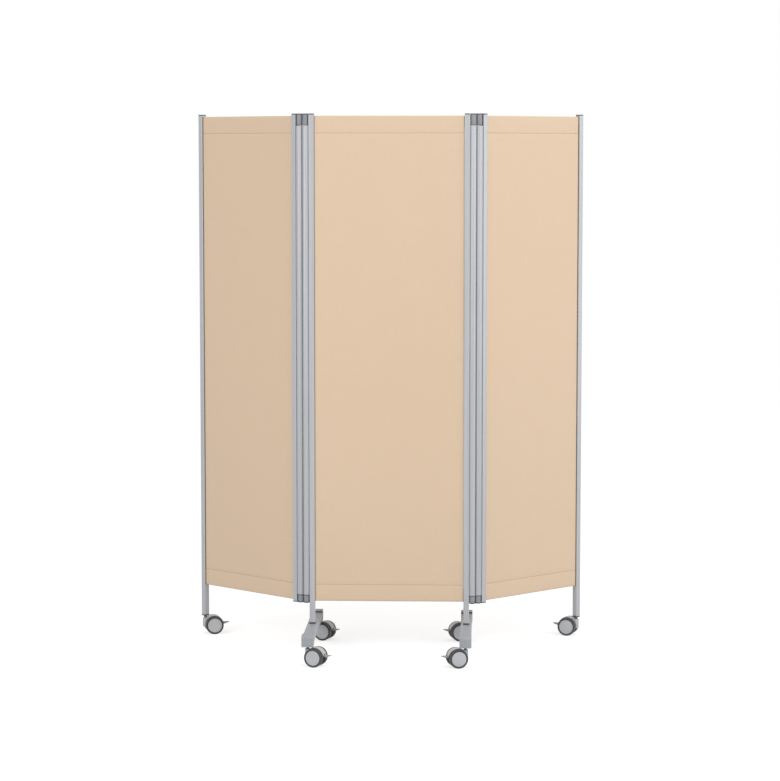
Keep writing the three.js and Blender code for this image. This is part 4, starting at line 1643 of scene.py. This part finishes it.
@dataclass(frozen=True)
class Lamp:
    """A square softbox: where it hangs, its side in metres and its power in watts."""

    name: str
    place: tuple[float, float, float]
    size: float
    power: float

    def hang(self, towards: Vector) -> None:
        """Adds the lamp, pointing at a place."""
        data = bpy.data.lights.new(self.name, "AREA")
        data.energy = self.power
        data.size = self.size
        lamp = bpy.data.objects.new(self.name, data)
        lamp.location = self.place
        lamp.rotation_euler = (towards - lamp.location).to_track_quat("-Z", "Y").to_euler()
        bpy.context.scene.collection.objects.link(lamp)


def seen_by(wiring: Wiring, *kinds: str) -> Socket:
    """One for rays of the named kinds, nought for all others."""
    path = wiring.node("ShaderNodeLightPath").outputs
    seen = path[f"Is {kinds[0]} Ray"]
    for kind in kinds[1:]:
        seen = wiring.math("MAXIMUM", seen, path[f"Is {kind} Ray"])
    return seen


@dataclass
class Studio:
    """Pale floor, soft lamps, white background and the camera."""

    azimuth: float = math.radians(2.227)
    elevation: float = math.radians(5.379)
    distance: float = 8.3335
    lens: float = 118.74
    aim: Vector = field(default_factory=lambda: Vector((0.002333, 0.0, 0.8589)))
    floor_size: float = 40.0
    floor_tones: tuple[Colour, Colour] = ((206, 206, 207), (210, 210, 210))
    glow: float = 0.62
    ambient: float = 0.6
    aim_height: float = 0.95
    lamps: tuple[Lamp, ...] = (
        Lamp("key", (2.6, -3.2, 2.6), 1.8, 23.0),
        Lamp("top", (1.6, -2.2, 3.9), 1.8, 23.0),
        Lamp("side", (4.0, -0.6, 1.8), 2.2, 33.0),
        Lamp("fill", (-2.6, -3.4, 2.2), 2.0, 50.0),
    )

    def floor(self) -> None:
        """Pale floor that stays white in the picture and keeps the object's soft shadow."""
        bpy.ops.object.select_all(action="DESELECT")
        bpy.ops.mesh.primitive_plane_add(size=self.floor_size)
        ground = bpy.context.active_object
        ground.name = "studio_floor"
        material = bpy.data.materials.new("studio_floor")
        material.use_nodes = True
        wiring = Wiring(material.node_tree, clear=True)
        place = wiring.node("ShaderNodeTexCoord").outputs["Object"]
        speck = wiring.between(wiring.noise(place, 3.0, detail=4.0), 0.3, 0.7)
        tone = wiring.mix(speck, *(linear(colour) for colour in self.floor_tones))
        matt = wiring.node("ShaderNodeBsdfDiffuse", {"Color": tone})
        glow = wiring.node("ShaderNodeEmission", {"Color": WHITE, "Strength": self.glow})
        both = wiring.node("ShaderNodeAddShader", {0: matt.outputs[0], 1: glow.outputs[0]})
        seen = seen_by(wiring, "Camera", "Glossy")
        mixed = wiring.node("ShaderNodeMixShader", {0: seen, 1: matt.outputs[0], 2: both.outputs[0]})
        wiring.node("ShaderNodeOutputMaterial", {"Surface": mixed.outputs[0]})
        material.cycles.emission_sampling = "NONE"
        ground.data.materials.append(material)

    def world(self) -> None:
        """White behind the object and in its reflections, softer as the light that falls on it."""
        made = bpy.data.worlds.new("studio")
        bpy.context.scene.world = made
        made.use_nodes = True
        wiring = Wiring(made.node_tree, clear=True)
        seen = seen_by(wiring, "Camera", "Glossy", "Transmission")
        strength = wiring.between(seen, 0.0, 1.0, self.ambient, 1.0)
        sky = wiring.node("ShaderNodeBackground", {"Color": WHITE, "Strength": strength})
        wiring.node("ShaderNodeOutputWorld", {"Surface": sky.outputs[0]})
        made.cycles.sampling_method = "NONE"

    def camera(self, centre: Spot) -> None:
        """Camera at the photograph's viewing angle."""
        target = Vector((centre.x, centre.y, 0.0)) + self.aim
        level = math.cos(self.elevation)
        back = Vector(
            (math.sin(self.azimuth) * level, -math.cos(self.azimuth) * level, math.sin(self.elevation))
        )
        data = bpy.data.cameras.new("camera")
        data.lens = self.lens
        camera = bpy.data.objects.new("camera", data)
        camera.location = target + back * self.distance
        camera.rotation_euler = (-back).to_track_quat("-Z", "Y").to_euler()
        bpy.context.scene.collection.objects.link(camera)
        bpy.context.scene.camera = camera

    def build(self, centre: Spot) -> None:
        """Sets up floor, world, lamps and camera.

        Args:
            centre: middle of the centre panel.
        """
        self.floor()
        self.world()
        for lamp in self.lamps:
            lamp.hang(Vector((centre.x, centre.y, self.aim_height)))
        self.camera(centre)
        bpy.context.scene.view_settings.view_transform = "Standard"


def main() -> None:
    """Builds the screen in order."""
    logging.basicConfig(level=logging.INFO, format="%(message)s", stream=sys.stdout)
    bpy.ops.object.select_all(action="DESELECT")
    plan = Plan(frame)
    posts = Posts()
    wing_spot = plan.wing(Side.RIGHT)
    outer = plan.middle("castor_stem_right_outer")
    wing_reach = math.hypot(outer.x - wing_spot.x, outer.y - wing_spot.y)
    posts.build(plan, wing_reach)
    Hinges().build(plan)
    Feet().build(plan, posts)
    side_gap = 0.001
    left, right = (plan.middle(f"post_cap_centre_{side.value}") for side in Side)
    middle = (left + right) / 2
    centre = Spot(middle.x, middle.y)
    Panel("centre", "centre_panel", right.x - left.x - posts.width - 2 * side_gap).build(centre)
    start = posts.bead_offset + posts.width / 2 + side_gap
    end = wing_reach - posts.width / 2 - side_gap
    for side, seed in ((Side.LEFT, 23), (Side.RIGHT, 37)):
        spot = plan.wing(side).at((start + end) / 2)
        if side is Side.LEFT:
            spot = Spot(spot.x, spot.y, spot.turn - HALF_TURN)
        Panel(side.value, f"{side.value}_wing", end - start, seed=seed).build(spot)
    Castor().build(plan, posts)
    Studio().build(centre)


if __name__ == "__main__":
    main()
